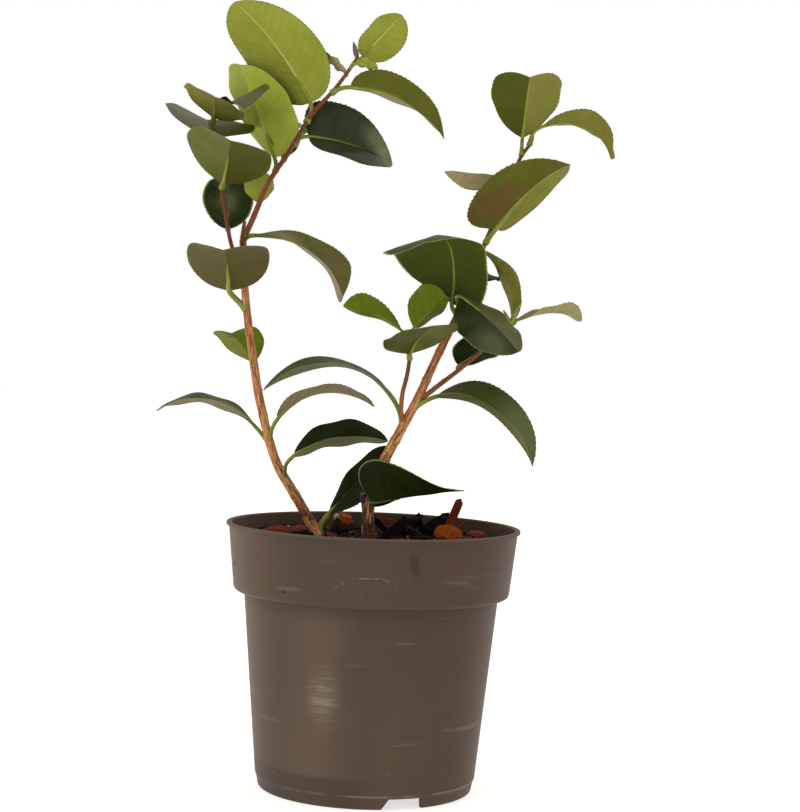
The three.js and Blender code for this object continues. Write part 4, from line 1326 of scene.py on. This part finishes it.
leaf_materials.update({
    "rim": plain_finish("leaf_rim", (122, 130, 58), (96, 106, 40), 0.45),
    "rim_bright": plain_finish("leaf_rim_bright", (150, 160, 84), (128, 140, 62), 0.45),
    "stalk": plain_finish("leaf_stalk", (118, 130, 40), (140, 148, 52), 0.42),
    "stalk_dark": plain_finish("leaf_stalk_dark", (50, 62, 18), (62, 76, 24), 0.42),
})

leaf_number = 0
blades = {}
for piece_name, leaves in LEAVES.items():
    shells = []
    for leaf in leaves.values():
        shells.append(blade_shell(leaf, leaf_number))
        leaf_number += 1
    blades[piece_name] = piece_of(piece_name, shells, leaf_materials)
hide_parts(*LEFT_LOW)
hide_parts(*RIGHT_LOW)
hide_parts("foliage_left_leader", "foliage_left_side")
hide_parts("foliage_right_leader", "foliage_right_inner", "foliage_right_outer")
for piece in blades.values():
    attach(piece, "root")


# ---- The leaf stalks ---------------------------------------------------------------------------
# Each blade hangs on a short green stalk. It leaves the bark from a small cushion, thickens at the
# blade's foot and runs out along the midrib's underside.


def stalk_shell(leaf):
    """The closed skin of a leaf's stalk."""
    node, foot = leaf_foot(leaf)
    reach = np.linalg.norm(leaf["stalk"])
    share = np.array([0.02, 0.14, 0.3])
    above = np.array([-0.1, -0.35, 0.1]) - leaf.get("sink", 0)
    sunk = blade_point(leaf, foot, share, np.zeros(3), above)
    start = unit(sunk[0] - foot)
    bend = foot - start * 0.45 * reach
    middle = 0.25 * node + 0.5 * bend + 0.25 * foot
    curve = Curve([node, middle, foot, sunk[1], sunk[2]])
    size = (leaf["length"] / 52) ** 0.5 * leaf.get("stout", 1)

    def radius(length, out):
        swollen = 0.7 * math.exp(-max(length - 1.4, 0) / 1.6)
        run_out = min(max((curve.length - length) / (curve.length - reach), 0), 1)
        return size * (0.3 + (0.75 + swollen) * run_out**0.8) * (1 + 0.03 * out[0])

    lengths = np.linspace(0, curve.length, int(curve.length / 0.6))
    return sweep(curve, lengths, radius, 12, finish=leaf.get("stem", "stalk"))


for side, leaves in (("left", {**LEFT_LOW, **LEFT_TOP}), ("right", {**RIGHT_LOW, **RIGHT_TOP})):
    stalks = piece_of(side + "_leaf_stalks", [stalk_shell(leaf) for leaf in leaves.values()], leaf_materials)
    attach(stalks, "root")


# ---- The buds ----------------------------------------------------------------------------------
# Pointed buds of overlapping scales: a purple-grey one that ends the left leader, green ones that
# end two shoots on the right, and a small green one in the axil of every leaf.


def bud_shell(foot, way, length, thick, tone):
    """The closed skin of a pointed bud, whose scales wind up around it."""
    curve = Curve([foot, foot + unit(np.asarray(way, float)) * length])

    def radius(at, out):
        share = min(max(at / length, 0), 1)
        spindle = math.sin(math.pi * (0.22 + 0.78 * share)) ** 0.85
        scale = (at / length * 5 + math.atan2(out[1], out[0]) / math.pi) % 1.0
        return max(thick * spindle * (1.08 - 0.16 * scale), 0.06)

    return sweep(curve, np.linspace(0, length, 30), radius, 16, tone=tone)


def limb_end(name):
    return curves[name].at(curves[name].length)


GREEN, PURPLE = 0.0, 1.0
buds = [
    bud_shell(limb_end("left_leader"), direction(160, 74), 9, 1.4, PURPLE),
    bud_shell(limb_end("right_leader"), direction(20, 70), 7, 1.3, 0.3),
    bud_shell(limb_end("right_outer"), direction(345, 64), 14, 1.4, GREEN),
    bud_shell(limb_end("right_outer") + np.array([0, -1, 1]), direction(200, 62), 8, 1.2, GREEN),
]
for leaf in (leaf for leaves in LEAVES.values() for leaf in leaves.values()):
    node, foot = leaf_foot(leaf)
    limb = curves[leaf["on"]]
    limb_way = limb.tangent(leaf["at"] * limb.length)
    stalk = np.array(leaf["stalk"], float)
    out = unit(stalk - limb_way * np.dot(stalk, limb_way))
    buds.append(bud_shell(node + out * 1.2 + limb_way * 1.2, unit(stalk) * 0.7 + limb_way, 3.0, 0.7, 0.15))
bud_skin = Finish("bud_scales", {"Roughness": 0.45, "Specular IOR Level": 0.4})
bud_skin.give({"Base Color": bud_skin.paint(
    colour(132, 140, 62),
    (bud_skin.told("tone"), 110, 96, 92),
    (bud_skin.grain(400, 3).rise(0.5, 0.7) * 0.4, 92, 84, 56),
)})
bud_piece = piece_of("buds", buds, {0: bud_skin.material})
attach(bud_piece, "root")
